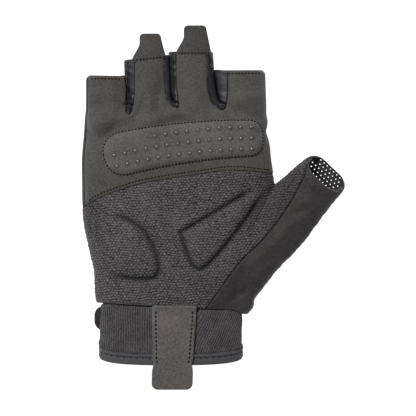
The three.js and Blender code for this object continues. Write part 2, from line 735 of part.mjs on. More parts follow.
// The wrist's pull tab lies along the palm side of the cuff and hangs past its binding
function wristTab() {
  const end = -CUFF_LENGTH - BINDING_HEIGHT;
  const section = cuffSection(end, 0);
  const overBand = SEAM_GAP;
  const overBinding = BINDING_PROUD + SEAM_GAP;
  const binding = -CUFF_LENGTH;
  const tip = end - STRAP_TAIL;
  const stops = [STRAP_START, -2, -8, -14, binding + 4, binding + 1, end, end - 2, end - STRAP_TAIL / 2];
  const round = [1, 0.7, 0.3, 0].map((share) => tip + share * STRAP_CORNER);
  return flap(
    [...stops.filter((y) => y > round[0]), ...round].map((y) => {
      const near = STRAP_CORNER - (y - tip);
      const cut = near > 0 ? STRAP_CORNER - Math.sqrt(STRAP_CORNER ** 2 - near ** 2) : 0;
      const half = STRAP_WIDTH / 2 - cut;
      const lift = THREE.MathUtils.lerp(overBinding, overBand, smooth(y, binding + 1, binding + 4));
      const droop = STRAP_DROOP * smooth(-y, -end, -tip);
      return [-1, -0.5, 0, 0.5, 1].map((v) => {
        const x = STRAP_ACROSS + v * half;
        const cuff = sectionHeight(section, x - section.centre.x, 0);
        const palm = frontHeight(x, Math.max(y, 0));
        const below = y > wristSeam(x) - 1.5 ? Math.max(cuff, palm) : cuff;
        return new THREE.Vector3(x, y, below + lift - droop);
      });
    }),
    STRAP_THICKNESS,
    false,
  );
}

// The closure strap crosses the back below the cuff, and its round end shows at the side
function closureStrap() {
  const half = CLOSURE_WIDTH / 2;
  const left = CUFF_SHIFT - CUFF_WIDTH / 2 - CLOSURE_PROUD;
  const shape = new THREE.Shape();
  shape.moveTo(left + CLOSURE_LENGTH, -half);
  shape.lineTo(left + CLOSURE_LENGTH, half);
  shape.lineTo(left + CLOSURE_CORNER, half);
  shape.quadraticCurveTo(left, half, left, half - CLOSURE_CORNER);
  shape.lineTo(left, -half + CLOSURE_CORNER);
  shape.quadraticCurveTo(left, -half, left + CLOSURE_CORNER, -half);
  const geometry = new THREE.ExtrudeGeometry(shape, {
    depth: CLOSURE_THICKNESS,
    bevelEnabled: false,
    curveSegments: 6,
  });
  return solid(geometry.translate(0, -CLOSURE_DROP, 0));
}

// Round holes through the back wall of the thumb, in staggered rows behind the opening
function perforations() {
  const section = thumbSection(1);
  const lipAlong = THUMB_LENGTH + section.lean * (section.middle - section.base);
  const holes = [];
  const rowPitch = HOLE_PITCH * Math.sin(Math.PI / 3);
  for (let row = 0; row * rowPitch < HOLE_FIELD; row++) {
    const along = lipAlong - HOLE_FROM_EDGE - row * rowPitch;
    const here = thumbSection(Math.min(1, along / THUMB_LENGTH));
    const room = (here.high - here.low) / 2 - MESH_WALL - HOLE_FROM_EDGE - 1.5;
    const centre = (here.high + here.low) / 2;
    const stagger = row % 2 ? HOLE_PITCH / 2 : 0;
    for (let side = -Math.floor(room / HOLE_PITCH) * HOLE_PITCH + stagger; side <= room; side += HOLE_PITCH) {
      const place = thumbPoint({ along: along / THUMB_LENGTH, web: -(centre + side) / THUMB_WIDTH });
      const depth = 2 * (MESH_WALL + SETTLE);
      const hole = new THREE.CylinderGeometry(HOLE_RADIUS, HOLE_RADIUS, depth, 5);
      hole.rotateX(Math.PI / 2).translate(place.x, place.y, here.base + MESH_WALL);
      holes.push(solid(hole));
    }
  }
  return joined(holes);
}

// The pieces

const padHoles = [HEEL_PAD, THUMB_BASE_PAD].map((rows) =>
  standing(grown(softOutline(rows), SOFT_PAD_GROOVE / 2), SEAM_HEIGHT, HIGH),
);

// What lies on the front is cut clear of it
const clearance = hand(SUEDE_PROUD + SEAM_GAP);
const layOn = (piece) => piece.subtract(clearance);

const suedePanel = shell(SUEDE_WALL, SUEDE_PROUD)
  .intersect(frontRegion(suedeArea, -HALF))
  .subtract(allGussets);
const knitShell = shell(KNIT_WALL);
const knitPanel = knitShell.intersect(frontRegion(knitArea, -HALF)).subtract(joined(padHoles));
const thumbPanel = knitShell.intersect(frontRegion(thumbArea, -HALF));
const meshBack = shell(MESH_WALL).intersect(thumbBackRegion(-HALF)).subtract(perforations());
const stretchShell = shell(STRETCH_WALL);
const gussetPanels = GUSSETS.map((gusset) => stretchShell.intersect(gussetRegion(gusset, -HALF)));
const backPanel = [frontRegion(suedeArea, HALF), frontRegion(knitArea, HALF), frontRegion(thumbArea, HALF)]
  .reduce((left, region) => left.subtract(region), stretchShell)
  .subtract(thumbBackRegion(HALF))
  .subtract(allGussets);

const band = sleeve(-CUFF_LENGTH + HALF, CUFF_TUCK, 0, -CUFF_WALL, 0).intersect(belowWrist);
const binding = sleeve(
  -CUFF_LENGTH - BINDING_HEIGHT,
  -CUFF_LENGTH - HALF,
  BINDING_PROUD,
  -CUFF_WALL - BINDING_PROUD,
);

const suede = { color: 0x4c4845, roughness: 0.92, metalness: 0 };
const tabSuede = { color: 0x5d5956, roughness: 0.9, metalness: 0 };
const rubber = { color: 0x5f5b58, roughness: 0.7, metalness: 0 };
const knit = { color: 0x484746, roughness: 0.95, metalness: 0 };
const smoothCloth = { color: 0x393736, roughness: 0.75, metalness: 0 };
const stretch = { color: 0x323135, roughness: 0.45, metalness: 0 };
const ribbed = { color: 0x444244, roughness: 0.9, metalness: 0 };
const bound = { color: 0x444345, roughness: 0.7, metalness: 0 };

const pieces = [
  ["palm_suede_panel", suedePanel, suede],
  ["grip_pad", layOn(gripPad()), rubber],
  ["palm_knit_panel", knitPanel, knit],
  ["heel_pad", softPad(HEEL_PAD), knit],
  ["thumb_base_pad", softPad(THUMB_BASE_PAD), knit],
  ["thumb_panel", thumbPanel, smoothCloth],
  ["thumb_mesh_back", meshBack, smoothCloth],
  ["gusset_pinky_ring", gussetPanels[0], stretch],
  ["gusset_ring_middle", gussetPanels[1], stretch],
  ["gusset_middle_index", gussetPanels[2], stretch],
  ["back_panel", backPanel, stretch],
  ["cuff_band", band, ribbed],
  ["cuff_binding", binding, bound],
  ["wrist_pull_tab", layOn(wristTab()), tabSuede],
  ...PULL_TABS.map((tab) => [tab.name, layOn(pullTab(tab)), suede]),
  ["closure_strap", closureStrap(), smoothCloth],
];

const glove = new THREE.Group();
for (const [name, made, look] of pieces) {
  const mesh = new THREE.Mesh(geometryOf(made), new THREE.MeshStandardMaterial(look));
  mesh.name = name;
  glove.add(mesh);
}

// The origin is the middle of the surface that the glove lies on
const reach = new THREE.Box3().setFromObject(glove);
const middle = reach.getCenter(new THREE.Vector3());
glove.position.set(-middle.x, -middle.y, -reach.min.z);

export default glove;
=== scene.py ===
# %% [markdown]
# # A weightlifting glove, lying palm up
#
# The real glove is sewn from flat cloths: a suede front, a knitted heel, a smooth thumb, stretch
# strips between the fingers, a ribbed cuff and a few pull tabs. One closed form gives the hand's
# shape, and each cloth is cut from it along its seams and gets its own wall, edge and weave.
# Tables are in millimetres, as on a paper pattern, and a mesh turns them into metres.

# %% Load the frame
import math
from contextlib import contextmanager

import bmesh
import bpy
import numpy as np
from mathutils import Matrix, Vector
from mathutils.bvhtree import BVHTree
from mathutils.kdtree import KDTree


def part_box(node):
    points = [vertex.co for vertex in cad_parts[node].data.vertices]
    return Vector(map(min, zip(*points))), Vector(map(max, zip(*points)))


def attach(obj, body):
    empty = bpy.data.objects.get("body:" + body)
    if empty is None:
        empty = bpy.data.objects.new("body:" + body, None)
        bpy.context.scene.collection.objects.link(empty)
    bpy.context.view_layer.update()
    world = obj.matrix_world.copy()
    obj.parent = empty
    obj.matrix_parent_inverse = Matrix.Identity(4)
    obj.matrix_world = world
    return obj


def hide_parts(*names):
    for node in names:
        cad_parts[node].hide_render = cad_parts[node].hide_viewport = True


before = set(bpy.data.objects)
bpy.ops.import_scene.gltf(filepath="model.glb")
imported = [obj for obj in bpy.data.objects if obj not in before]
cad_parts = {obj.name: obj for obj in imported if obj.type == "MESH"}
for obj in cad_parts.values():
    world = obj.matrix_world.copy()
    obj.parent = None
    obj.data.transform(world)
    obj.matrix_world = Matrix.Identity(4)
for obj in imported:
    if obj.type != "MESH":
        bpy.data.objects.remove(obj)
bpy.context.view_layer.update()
bpy.ops.object.select_all(action="DESELECT")
print("nodes in the frame:", sorted(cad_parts))

# %% [markdown]
# ## The pattern's sizes
#
# A few sizes drive the glove, and the tables hold shares of them, so that it keeps its cut when a
# size changes. The closure strap's box in the frame says where the pattern's own origin, the
# middle of the wrist, has to lie.

# %% Sizes in millimetres
MM = 0.001

PALM_LENGTH = 104
PALM_WIDTH = 100
PALM_DEPTH = 27
FINGER_LENGTH = 30
THUMB_LENGTH = 86.5
THUMB_WIDTH = 26.5
THUMB_DEPTH = 19.5
THUMB_TURN = math.radians(46.5)
CUFF_WIDTH = 74.5
CUFF_DEPTH = 21
CUFF_LENGTH = 25
CUFF_SHIFT = -2.6
BINDING_HEIGHT = 6
BINDING_LEAN = 0.42
WRIST_SEAM_DROP = 0.8
WRIST_SEAM_FALL = 0.055

SUEDE_WALL = 1.5
KNIT_WALL = 1.5
STRETCH_WALL = 1.1
MESH_WALL = 1.2
CUFF_WALL = 1.6
SEAM_GAP = 0.3
SETTLE = 1.6

SEAM_HEIGHT = 0.39 * PALM_DEPTH
GUSSET_SEAM_HEIGHT = 0.17 * PALM_DEPTH
GUSSET_FOLD_HEIGHT = 0.6 * PALM_DEPTH
SIDE_SEAM_INSET = 1.7

CLOSURE_WIDTH = 13
CLOSURE_LENGTH = 62
CLOSURE_THICKNESS = 1.8
CLOSURE_CORNER = 5
CLOSURE_PROUD = 3.4
CLOSURE_DROP = 6.4
CUFF_BASE = CLOSURE_THICKNESS + SEAM_GAP

strap_low, strap_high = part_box("closure_strap")
STRAP_LEFT = CUFF_SHIFT - CUFF_WIDTH / 2 - CLOSURE_PROUD
ORIGIN = np.array([
    strap_low.x - STRAP_LEFT * MM,
    (strap_low.y + strap_high.y) / 2 + CLOSURE_DROP * MM,
    0.0,
])
print("the pattern's origin lies at", ORIGIN.round(5))

# %% [markdown]
# ## Tables of sections
#
# A tube of cloth is easiest to describe by a few cross-sections along it. Each row says where
# the section is and how wide and deep the glove is there, and a smooth curve joins the rows.


# %% Section tables and the curve through them
def table(columns, rows):
    return {name: np.array(values, float) for name, values in zip(columns.split(), zip(*rows))}


def column(rows, key, along):
    """A smooth value of one column between its rows"""
    x, y = rows["along"], rows[key]
    inner = (y[2:] - y[:-2]) / (x[2:] - x[:-2])
    ends = np.diff(y) / np.diff(x)
    slope = np.concatenate([ends[:1], inner, ends[-1:]])
    place = np.clip(along, x[0], x[-1])
    i = np.clip(np.searchsorted(x, place, side="right") - 1, 0, len(x) - 2)
    span = x[i + 1] - x[i]
    t = (place - x[i]) / span
    start = y[i] * (1 + 2 * t) * (1 - t) ** 2 + slope[i] * span * t * (1 - t) ** 2
    end = y[i + 1] * t * t * (3 - 2 * t) - slope[i + 1] * span * t * t * (1 - t)
    return start + end


PALM_SECTIONS = table("along little thumb depth", [
    (-0.06, -0.405, 0.348, 0.84),
    (0, -0.416, 0.355, 0.87),
    (0.05, -0.425, 0.385, 0.93),
    (0.17, -0.433, 0.43, 1),
    (0.3, -0.46, 0.467, 1),
    (0.42, -0.486, 0.498, 0.98),
    (0.54, -0.495, 0.515, 0.97),
    (0.63, -0.496, 0.517, 0.96),
    (0.75, -0.497, 0.5, 0.93),
    (0.88, -0.486, 0.482, 0.88),
    (0.97, -0.48, 0.475, 0.82),
    (1.035, -0.473, 0.467, 0.68),
])
PALM_SQUARENESS = 2.7

# A finger's middle and width as shares of the palm, its length as a share of FINGER_LENGTH
FINGER_COLUMNS = ("middle", "width", "drift", "widen", "length", "slant", "lean")
FINGERS = {
    "pinky": (-0.367, 0.217, -0.0055, -0.05, 0.59, -0.02, 0.04),
    "ring": (-0.133, 0.238, -0.014, 0.034, 0.9, 0.12, 0.04),
    "middle": (0.113, 0.242, -0.023, -0.116, 1, 0, 0.04),
    "index": (0.3575, 0.235, -0.0155, 0.083, 0.685, 0.01, 0.03),
}
FINGERS = {name: dict(zip(FINGER_COLUMNS, row)) for name, row in FINGERS.items()}
FINGER_SECTIONS = table("along width depth", [
    (-0.9, 0.84, 0.75),
    (-0.45, 0.95, 0.81),
    (0, 1, 0.81),
    (0.4, 1, 0.78),
    (1, 1, 0.755),
])
FINGER_SQUARENESS = 2.6

THUMB_SECTIONS = table("along web outer low high", [
    (-0.02, 0.3, -0.77, 0.12, 1.05),
    (0.1, 0.42, -0.76, 0.05, 1.12),
    (0.24, 0.5, -0.655, 0.02, 1.17),
    (0.38, 0.54, -0.62, 0.05, 1.18),
    (0.54, 0.57, -0.63, 0.09, 1.16),
    (0.68, 0.59, -0.585, 0.13, 1.14),
    (0.8, 0.55, -0.535, 0.15, 1.13),
    (0.91, 0.52, -0.505, 0.16, 1.13),
    (1, 0.47, -0.48, 0.17, 1.12),
])
THUMB_SQUARENESS = 2.2
THUMB_LEAN = 0.46
THUMB_ROOT = (0.207, 0.0815)

# Broad hollows and swells of the palm side: place, reach and height
RELIEF = [
    (0.06, 0.47, 0.2, -0.07),
    (0.26, 0.3, 0.17, 0.05),
    (-0.26, 0.3, 0.17, 0.045),
    (0.47, 0.6, 0.07, -0.06),
]
print("sections:", len(PALM_SECTIONS["along"]), "palm,", len(THUMB_SECTIONS["along"]), "thumb")


# %% [markdown]
# ## From sections to tubes
#
# A section of the glove is a rounded rectangle, pressed flat where it rests on the table. A
# superellipse draws that with one number for its squareness, and the mesh between sections that
# follow each other is a closed tube.

# %% Helpers for sections
def smoothstep(value, low, high):
    t = np.clip((value - low) / (high - low), 0, 1)
    return t * t * (3 - 2 * t)


def power(value, exponent):
    return np.sign(value) * np.abs(value) ** exponent


def hill(away, reach):
    """1 in the middle, and close to 0 from twice the reach on"""
    return np.exp(-((away / reach) ** 2))


def units(vectors):
    return vectors / np.linalg.norm(vectors, axis=1)[:, None]


def relief(x, y):
    """Height that the hollows and swells add to the palm side at a place"""
    total = np.zeros(np.broadcast(x, y).shape)
    for across, along, reach, height in RELIEF:
        away = np.hypot(x - across * PALM_WIDTH, y - along * PALM_LENGTH) / (reach * PALM_WIDTH)
        total = total + height * PALM_DEPTH * np.exp(-away * away)
    return total


def ring(section, outset=0.0, sides=240, turns=None):
    """The places round one section, as an array of x, y, z in millimetres"""
    turn = -np.linspace(0, 2 * np.pi, sides, endpoint=False) if turns is None else turns
    low, high, middle = section["low"], section["high"], section["middle"]
    base, top = section["base"], section["top"]
    half = (high - low) / 2 + outset
    side = (high + low) / 2 + half * power(np.cos(turn), 2 / section["squareness"])
    up = np.sin(turn)
    reach = np.where(up > 0, top - middle + outset, middle - base + SETTLE + outset)
    place = section["centre"] + side[:, None] * section["across"]
    rise = reach * power(up, 2 / section["squareness"])
    rise = rise + np.maximum(0, up) * relief(place[:, 0], place[:, 1])
    z = np.maximum(max(base, base - outset), middle + rise)
    place = place - section["ahead"] * (section["lean"] * (z - middle))[:, None]
    place[:, 2] = z
    return place


FORWARD = np.array([0.0, 1.0, 0.0])
SIDEWAYS = np.array([1.0, 0.0, 0.0])
UP = np.array([0.0, 0.0, 1.0])


def make_section(centre, sides, heights, squareness, ahead=FORWARD, across=SIDEWAYS, lean=0):
    """One cross-section: its sides run from low to high, its heights base, middle and top"""
    return {
        "centre": np.array(centre, float), "low": sides[0], "high": sides[1],
        "base": heights[0], "middle": heights[1], "top": heights[2],
        "squareness": squareness, "ahead": ahead, "across": across, "lean": lean,
    }


def palm_section(along):
    little, thumb, depth = (column(PALM_SECTIONS, k, along) for k in ("little", "thumb", "depth"))
    base = CUFF_BASE * (1 - smoothstep(along, 0, 0.1))
    return make_section(
        (0, along * PALM_LENGTH, 0), (little * PALM_WIDTH, thumb * PALM_WIDTH),
        (base, SEAM_HEIGHT, depth * PALM_DEPTH), PALM_SQUARENESS,
    )


def finger_section(finger, t, narrow=(0, 0)):
    """A finger's section, with its two sides drawn in by the sizes in narrow"""
    reached = max(0, t)
    length = finger["length"] * FINGER_LENGTH
    shape = column(FINGER_SECTIONS, "width", t) * (1 + finger["widen"] * reached)
    width = finger["width"] * PALM_WIDTH * shape
    top = column(FINGER_SECTIONS, "depth", t) * PALM_DEPTH
    lean = finger["lean"] * reached
    across = np.array([1.0, finger["slant"] * reached, 0.0])
    middle = (finger["middle"] + finger["drift"] * reached) * PALM_WIDTH
    return make_section(
        (middle, PALM_LENGTH + t * length + lean * top / 2, 0),
        (-width / 2 + narrow[0], width / 2 - narrow[1]), (0, top / 2, top),
        FINGER_SQUARENESS, across=across / np.linalg.norm(across), lean=lean,
    )


THUMB_AHEAD = np.array([math.cos(THUMB_TURN), math.sin(THUMB_TURN), 0.0])
THUMB_ACROSS = np.array([THUMB_AHEAD[1], -THUMB_AHEAD[0], 0.0])


def thumb_point(along, web):
    root = np.array([THUMB_ROOT[0] * PALM_WIDTH, THUMB_ROOT[1] * PALM_LENGTH, 0.0])
    return root + THUMB_AHEAD * along * THUMB_LENGTH - THUMB_ACROSS * web * THUMB_WIDTH


def thumb_section(along):
    web, outer, low, high = (
        column(THUMB_SECTIONS, key, along) for key in ("web", "outer", "low", "high")
    )
    low, high = low * THUMB_DEPTH, high * THUMB_DEPTH
    return make_section(
        thumb_point(along, 0), (-web * THUMB_WIDTH, -outer * THUMB_WIDTH),
        (low, (low + high) / 2, high), THUMB_SQUARENESS, THUMB_AHEAD, THUMB_ACROSS,
        THUMB_LEAN * smoothstep(along, 0.5, 1),
    )


def moved(section, ahead):
    return {**section, "centre": section["centre"] + section["ahead"] * ahead}


# %% Helpers that make meshes
def in_frame(places):
    return np.asarray(places, float) * MM + ORIGIN


def add_piece(name, places, faces):
    """A mesh object from places in millimetres, its faces turned outwards"""
    mesh = bpy.data.meshes.new(name)
    mesh.from_pydata(in_frame(places).tolist(), [], faces)
    piece = bpy.data.objects.new(name, mesh)
    bpy.context.collection.objects.link(piece)
    with open_mesh(piece) as bm:
        bmesh.ops.remove_doubles(bm, verts=bm.verts, dist=1e-7)
        bmesh.ops.recalc_face_normals(bm, faces=bm.faces)
    return piece


@contextmanager
def open_mesh(piece):
    """The piece's mesh, open for editing inside a with block and stored at its end"""
    bm = bmesh.new()
    bm.from_mesh(piece.data)
    bm.verts.ensure_lookup_table()
    yield bm
    bm.to_mesh(piece.data)
    bm.free()


def numbers_of(items, key, width=1, kind=float):
    """One property of all points, edges or corners of a mesh, as rows of an array"""
    flat = np.empty(len(items) * width, kind)
    items.foreach_get(key, flat)
    return flat.reshape(-1, width)


def grid_faces(rows, wide, start=0, loop_rows=False, loop_across=False):
    """Four-sided faces between rows of places, closed on themselves where asked"""
    faces = []
    for r in range(rows if loop_rows else rows - 1):
        here, there = start + r * wide, start + (r + 1) % rows * wide
        for c in range(wide if loop_across else wide - 1):
            n = (c + 1) % wide
            faces.append((here + c, here + n, there + n, there + c))
    return faces


def loft(name, layers):
    """A closed solid through layers of as many places each, with a fan at both ends"""
    layers = np.array(layers)
    rows, wide = layers.shape[:2]
    places = np.vstack([layers.reshape(-1, 3), layers[0].mean(0), layers[-1].mean(0)])
    faces = grid_faces(rows, wide, loop_across=True)
    for c in range(wide):
        n, last = (c + 1) % wide, (rows - 1) * wide
        faces += [(rows * wide, c, n), (rows * wide + 1, last + c, last + n)]
    return add_piece(name, places, faces)


def closed_loops(name, layers):
    """A ring-shaped piece from layers that follow each other and close on the first"""
    faces = grid_faces(len(layers), len(layers[0]), loop_rows=True, loop_across=True)
    return add_piece(name, np.vstack(layers), faces)


def outline_of(rows, wide):
    """The numbers of the outer places of a grid, in order round it"""
    rim = list(range(wide)) + [r * wide + wide - 1 for r in range(1, rows)]
    rim += [rows * wide - 2 - c for c in range(wide - 1)]
    return rim + [r * wide for r in range(rows - 2, 0, -1)]


def slab(name, lower, upper, rows, wide):
    """A closed piece between a lower and an upper grid of places"""
    total, rim = rows * wide, outline_of(rows, wide)
    faces = grid_faces(rows, wide) + grid_faces(rows, wide, total)
    for here, there in zip(rim, rim[1:] + rim[:1]):
        faces.append((here, there, total + there, total + here))
    return add_piece(name, np.vstack([lower, upper]), faces)


def only(piece):
    bpy.ops.object.select_all(action="DESELECT")
    piece.select_set(True)
    bpy.context.view_layer.objects.active = piece


def apply_modifier(piece, kind, **settings):
    only(piece)
    modifier = piece.modifiers.new(kind.title(), kind)
    for key, value in settings.items():
        setattr(modifier, key, value)
    bpy.ops.object.modifier_apply(modifier=modifier.name)


def join_pieces(pieces):
    only(pieces[0])
    for other in pieces[1:]:
        other.select_set(True)
    bpy.ops.object.join()
    return pieces[0]


def places_of(piece):
    """The places of a piece's points, in pattern millimetres"""
    return (numbers_of(piece.data.vertices, "co", 3) - ORIGIN) / MM


def normals_of(piece):
    return numbers_of(piece.data.vertices, "normal", 3)


def move_to(piece, places):
    piece.data.vertices.foreach_set("co", in_frame(places).ravel())
    piece.data.update()


def remove_piece(piece):
    mesh = piece.data
    bpy.data.objects.remove(piece)
    bpy.data.meshes.remove(mesh)


# %% [markdown]
# ## One form for the whole hand
#
# The real pieces are sewn to each other, so they share one smooth shape. Six tubes, the palm,
# four fingers and the thumb, are joined and remeshed into one even skin, and a little smoothing
# melts them together. They run on past the hems and are cut there later. The fingers are made
# slightly thin, so that the remesh leaves a slit between them.

# %% The hand's form
FORM_CELL = 0.6
HEM_SPARE = 4
WRIST_SPARE = 6
SLIT_SPARE = 0.62


def tube(name, section_at, stations, spare=HEM_SPARE):
    """A tube through the sections at some stations, run on past its last one"""
    layers = [ring(section_at(t)) for t in stations]
    if spare:
        layers.append(ring(moved(section_at(stations[-1]), spare)))
    return loft(name, layers)


palm_stations = np.linspace(-WRIST_SPARE / PALM_LENGTH, PALM_SECTIONS["along"][-1], 70)
parts = [
    tube("palm", palm_section, palm_stations, 0),
    tube("thumb", thumb_section, np.linspace(-0.02, 1, 60)),
]
for name, finger in FINGERS.items():
    narrow = (SLIT_SPARE * (name != "pinky"), SLIT_SPARE * (name != "index"))
    parts.append(tube(name, lambda t: finger_section(finger, t, narrow), np.linspace(-0.9, 1, 24)))
form = join_pieces(parts)
form.name = "form"
apply_modifier(form, "REMESH", mode="VOXEL", voxel_size=FORM_CELL * MM)
apply_modifier(form, "SMOOTH", factor=0.5, iterations=9)
handles = 1 - (len(form.data.vertices) - len(form.data.edges) + len(form.data.polygons)) / 2
print("form:", len(form.data.polygons), "faces,", handles, "handles")

# %% [markdown]
# ## Slits, valleys and folds
#
# Cloth shows its softness in broad shapes: the walls of two fingers lie against each other, the
# palm sinks towards the webs, and the suede and the thumb have shallow folds. Each is a move of
# the form's points, a short formula with a reach and a depth.


# %% Shape the soft form
def finger_edges(name, y):
    """Where a finger's two sides are at a distance along the glove"""
    finger = FINGERS[name]
    t = np.clip((y - PALM_LENGTH) / (finger["length"] * FINGER_LENGTH), 0, 1)
    middle = (finger["middle"] + finger["drift"] * t) * PALM_WIDTH
    half = finger["width"] * PALM_WIDTH * (1 + finger["widen"] * t) / 2
    return middle - half, middle + half


SLITS = [("pinky", "ring"), ("ring", "middle"), ("middle", "index")]

# A gusset's sides, foot and lowest point as shares of the palm, left to right
GUSSET_COLUMNS = ("left", "right", "under_left", "under_right", "foot", "bottom", "spread")
GUSSETS = [
    (-0.262, -0.215, -0.286, -0.215, -0.247, 0.972, 0.03),
    (-0.06, 0.003, -0.06, 0.02, 0.005, 1.003, 0.045),
    (0.164, 0.276, 0.164, 0.276, 0.244, 0.994, 0.045),
]
GUSSETS = [dict(zip(GUSSET_COLUMNS, row)) for row in GUSSETS]
GUSSET_NARROWS = 0.17
VALLEY_DEPTH = 5
VALLEY_REACH = 2.1
VALLEY_RAMP = 11
GATHER_HEIGHT = 0.42
GATHER_REACH = 3.2
SLIT_FROM = (105.8, 108)
SLIT_CLOSING = 1.9
SLIT_LEFT = 0.06
SLIT_SWAY = 0.55
SLIT_SHIFTS = (0, -1.5, -1.4)
UPPER_SIDE = (8, 15)


def slit_middle(index, y):
    left, right = SLITS[index]
    at_web = (finger_edges(left, y)[1] + finger_edges(right, y)[0]) / 2
    foot = GUSSETS[index]["foot"] * PALM_WIDTH
    bottom = GUSSETS[index]["bottom"] * PALM_LENGTH
    return at_web + (foot - at_web) * (1 - smoothstep(y, bottom, bottom + 10))


# Folds of the cloth: place, heading in degrees, length, reach and height in millimetres
FOLDS = [
    (11, 112, 128, 20, 3.2, 1.1),
    (16, 107, 126, 18, 3.0, -1.1),
    (22, 100, 140, 20, 3.2, 1.0),
    (-9, 111, 75, 18, 3.0, -0.9),
    (-14, 107, 110, 20, 3.2, 1.0),
    (-19, 103, 60, 18, 2.8, -1.0),
    (-6, 100, 20, 20, 3.2, 0.8),
    (4, 97, -12, 22, 3.0, -0.8),
    (-38, 97, 14, 24, 3.6, 0.8),
    (-40, 106, 10, 18, 3.4, -0.7),
    (36, 101, -12, 20, 3.4, -0.8),
    (38, 110, 8, 18, 3.2, 0.8),
    (-33, 92, 40, 16, 3, -0.7),
    (-46, 60, 70, 25, 4, 0.5),
    (45, 50, 62, 22, 3, -0.7),
    (55, 36, 46, 30, 3.4, 0.7),
    (60, 33, 46, 30, 3.2, -0.6),
    (38, 10, 40, 18, 2.8, -1.1),
    (44, 16, 45, 18, 2.6, 0.8),
    (66, 50, 30, 14, 2.6, -0.6),
    (52, 62, 40, 12, 2.2, -0.7),
]
FOLD_GAIN = 2.2
FOLD_BOW = 0.005


def folds(x, y):
    total = np.zeros_like(x)
    for fx, fy, heading, length, reach, height in FOLDS:
        turn = math.radians(heading)
        along = (x - fx) * math.cos(turn) + (y - fy) * math.sin(turn)
        across = (y - fy) * math.cos(turn) - (x - fx) * math.sin(turn)
        bend = across - FOLD_BOW * along * along
        total += FOLD_GAIN * height * np.exp(-((along / length * 2) ** 2) - (bend / reach) ** 2)
    return total


# Places where the outline is drawn in or let out: side, along, reach and size
PUCKERS = [
    (1, 92, 2.6, -0.7), (1, 98, 3, 0.5), (1, 84, 4, 0.3), (-1, 20, 5, -0.3), (-1, -1, 3, -1),
    (1, 4.5, 3, -1.9), (1, -1.5, 2, -0.6),
]
HEM_CORNER = 2.6
OUTER_FINGERS = (("pinky", -1), ("index", 1))


def puckers(x, y):
    total = np.zeros_like(x)
    for side, along, reach, size in PUCKERS:
        near_edge = smoothstep(side * x, 25, 40) * (np.abs(x) < 55)
        total += side * size * near_edge * hill(y - along, reach)
    outer = (x - 20) * THUMB_ACROSS[0] + (y - 8) * THUMB_ACROSS[1]
    run = (x - 20) * THUMB_AHEAD[0] + (y - 8) * THUMB_AHEAD[1]
    at_thumb = smoothstep(outer, 8, 13) * smoothstep(run, 5, 15)
    ripples = 0.1 * np.sin(run * 0.62 + 1.4 * np.sin(run * 0.19)) + 0.05 * np.sin(run * 1.7 + 1)
    return total + at_thumb * ripples * 1.6


def hem_place(name):
    return PALM_LENGTH + FINGERS[name]["length"] * FINGER_LENGTH


def round_corners(x, y):
    """The outer corners of the outer fingers' hems are round"""
    total = np.zeros_like(x)
    for name, side in OUTER_FINGERS:
        end = hem_place(name)
        short = np.clip(HEM_CORNER - (end - y), 0, HEM_CORNER)
        cut = HEM_CORNER * 0.55 * (short / HEM_CORNER) ** 2.4
        low, high = finger_edges(name, end)
        inner, outer = (high, low) if side < 0 else (low, high)
        total -= side * cut * smoothstep((x - inner) / (outer - inner), 0.55, 1)
    return total


def shape_form(piece):
    x, y, z = places_of(piece).T
    upward, in_slit = smoothstep(z, *UPPER_SIDE), smoothstep(y, *SLIT_FROM)
    for index, gusset in enumerate(GUSSETS):
        middle, bottom = slit_middle(index, y), gusset["bottom"] * PALM_LENGTH
        away = x - middle
        near = np.abs(away)
        closed = near - SLIT_CLOSING * (1 - smoothstep(near, 2.2, 5)) * in_slit
        sway = SLIT_SWAY * np.sin(z * 0.75 + index) * (1 - smoothstep(near, 1.5, 6)) * in_slit
        shift = SLIT_SHIFTS[index] * (1 - smoothstep(near, 2.2, 6)) * smoothstep(y, 105, 111)
        swayed = middle + sway + shift
        x = swayed + np.sign(away) * np.maximum(closed, np.minimum(near, SLIT_LEFT))
        deep = VALLEY_DEPTH * smoothstep(y, bottom - 0.5, bottom + VALLEY_RAMP)
        reach = VALLEY_REACH * (1.15 - 0.3 * smoothstep(y, bottom, bottom + VALLEY_RAMP))
        valley = hill(away, reach) * deep * (1 - 0.6 * in_slit)
        wave = np.sin((y - bottom) * 1.05 + away * 1.3 + 2 * np.sin(y * 0.4))
        gathers = GATHER_HEIGHT * wave * hill(away, GATHER_REACH)
        z = z + (gathers * smoothstep(y, bottom, bottom + 3) - valley) * upward
    z = z + folds(x, y) * upward
    x = x + round_corners(x, y) + puckers(x, y)
    y = y - 1.7 * smoothstep(x, 29, 35) * (1 - smoothstep(y, 0, 9))
    move_to(piece, np.stack([x, y, z], 1))


print("folds:", len(FOLDS), "and slits:", len(SLITS))


# %% [markdown]
# ## Cut the hems
#
# Each finger ends in a hem, the thumb in a slanted opening, and the palm at the wrist seam. A
# plane cuts the form there. The filled cut keeps the form closed, and its own material number
# later tells cloth from cut.

# %% Cut planes
CLOTH, CUT = 0, 1
LIP_BACK = 0.7
LIP_LEAN = 0.075


def cut_end(piece, point, direction, chosen):
    """Cuts off what lies ahead of a plane, among the faces that chosen(centre) accepts"""
    plane = {"plane_co": in_frame(point), "plane_no": Vector(direction).normalized()}
    with open_mesh(piece) as bm:
        picked = [f for f in bm.faces if chosen((np.array(f.calc_center_median()) - ORIGIN) / MM)]
        parts = {v for f in picked for v in f.verts} | {e for f in picked for e in f.edges}
        geom = list(parts | set(picked))
        made = bmesh.ops.bisect_plane(bm, geom=geom, clear_outer=True, **plane)["geom_cut"]
        rim = [e for e in made if isinstance(e, bmesh.types.BMEdge) and e.is_boundary]
        for cap in bmesh.ops.contextual_create(bm, geom=rim)["faces"]:
            cap.material_index = CUT


def wrist_seam(x):
    return -WRIST_SEAM_DROP - WRIST_SEAM_FALL * x


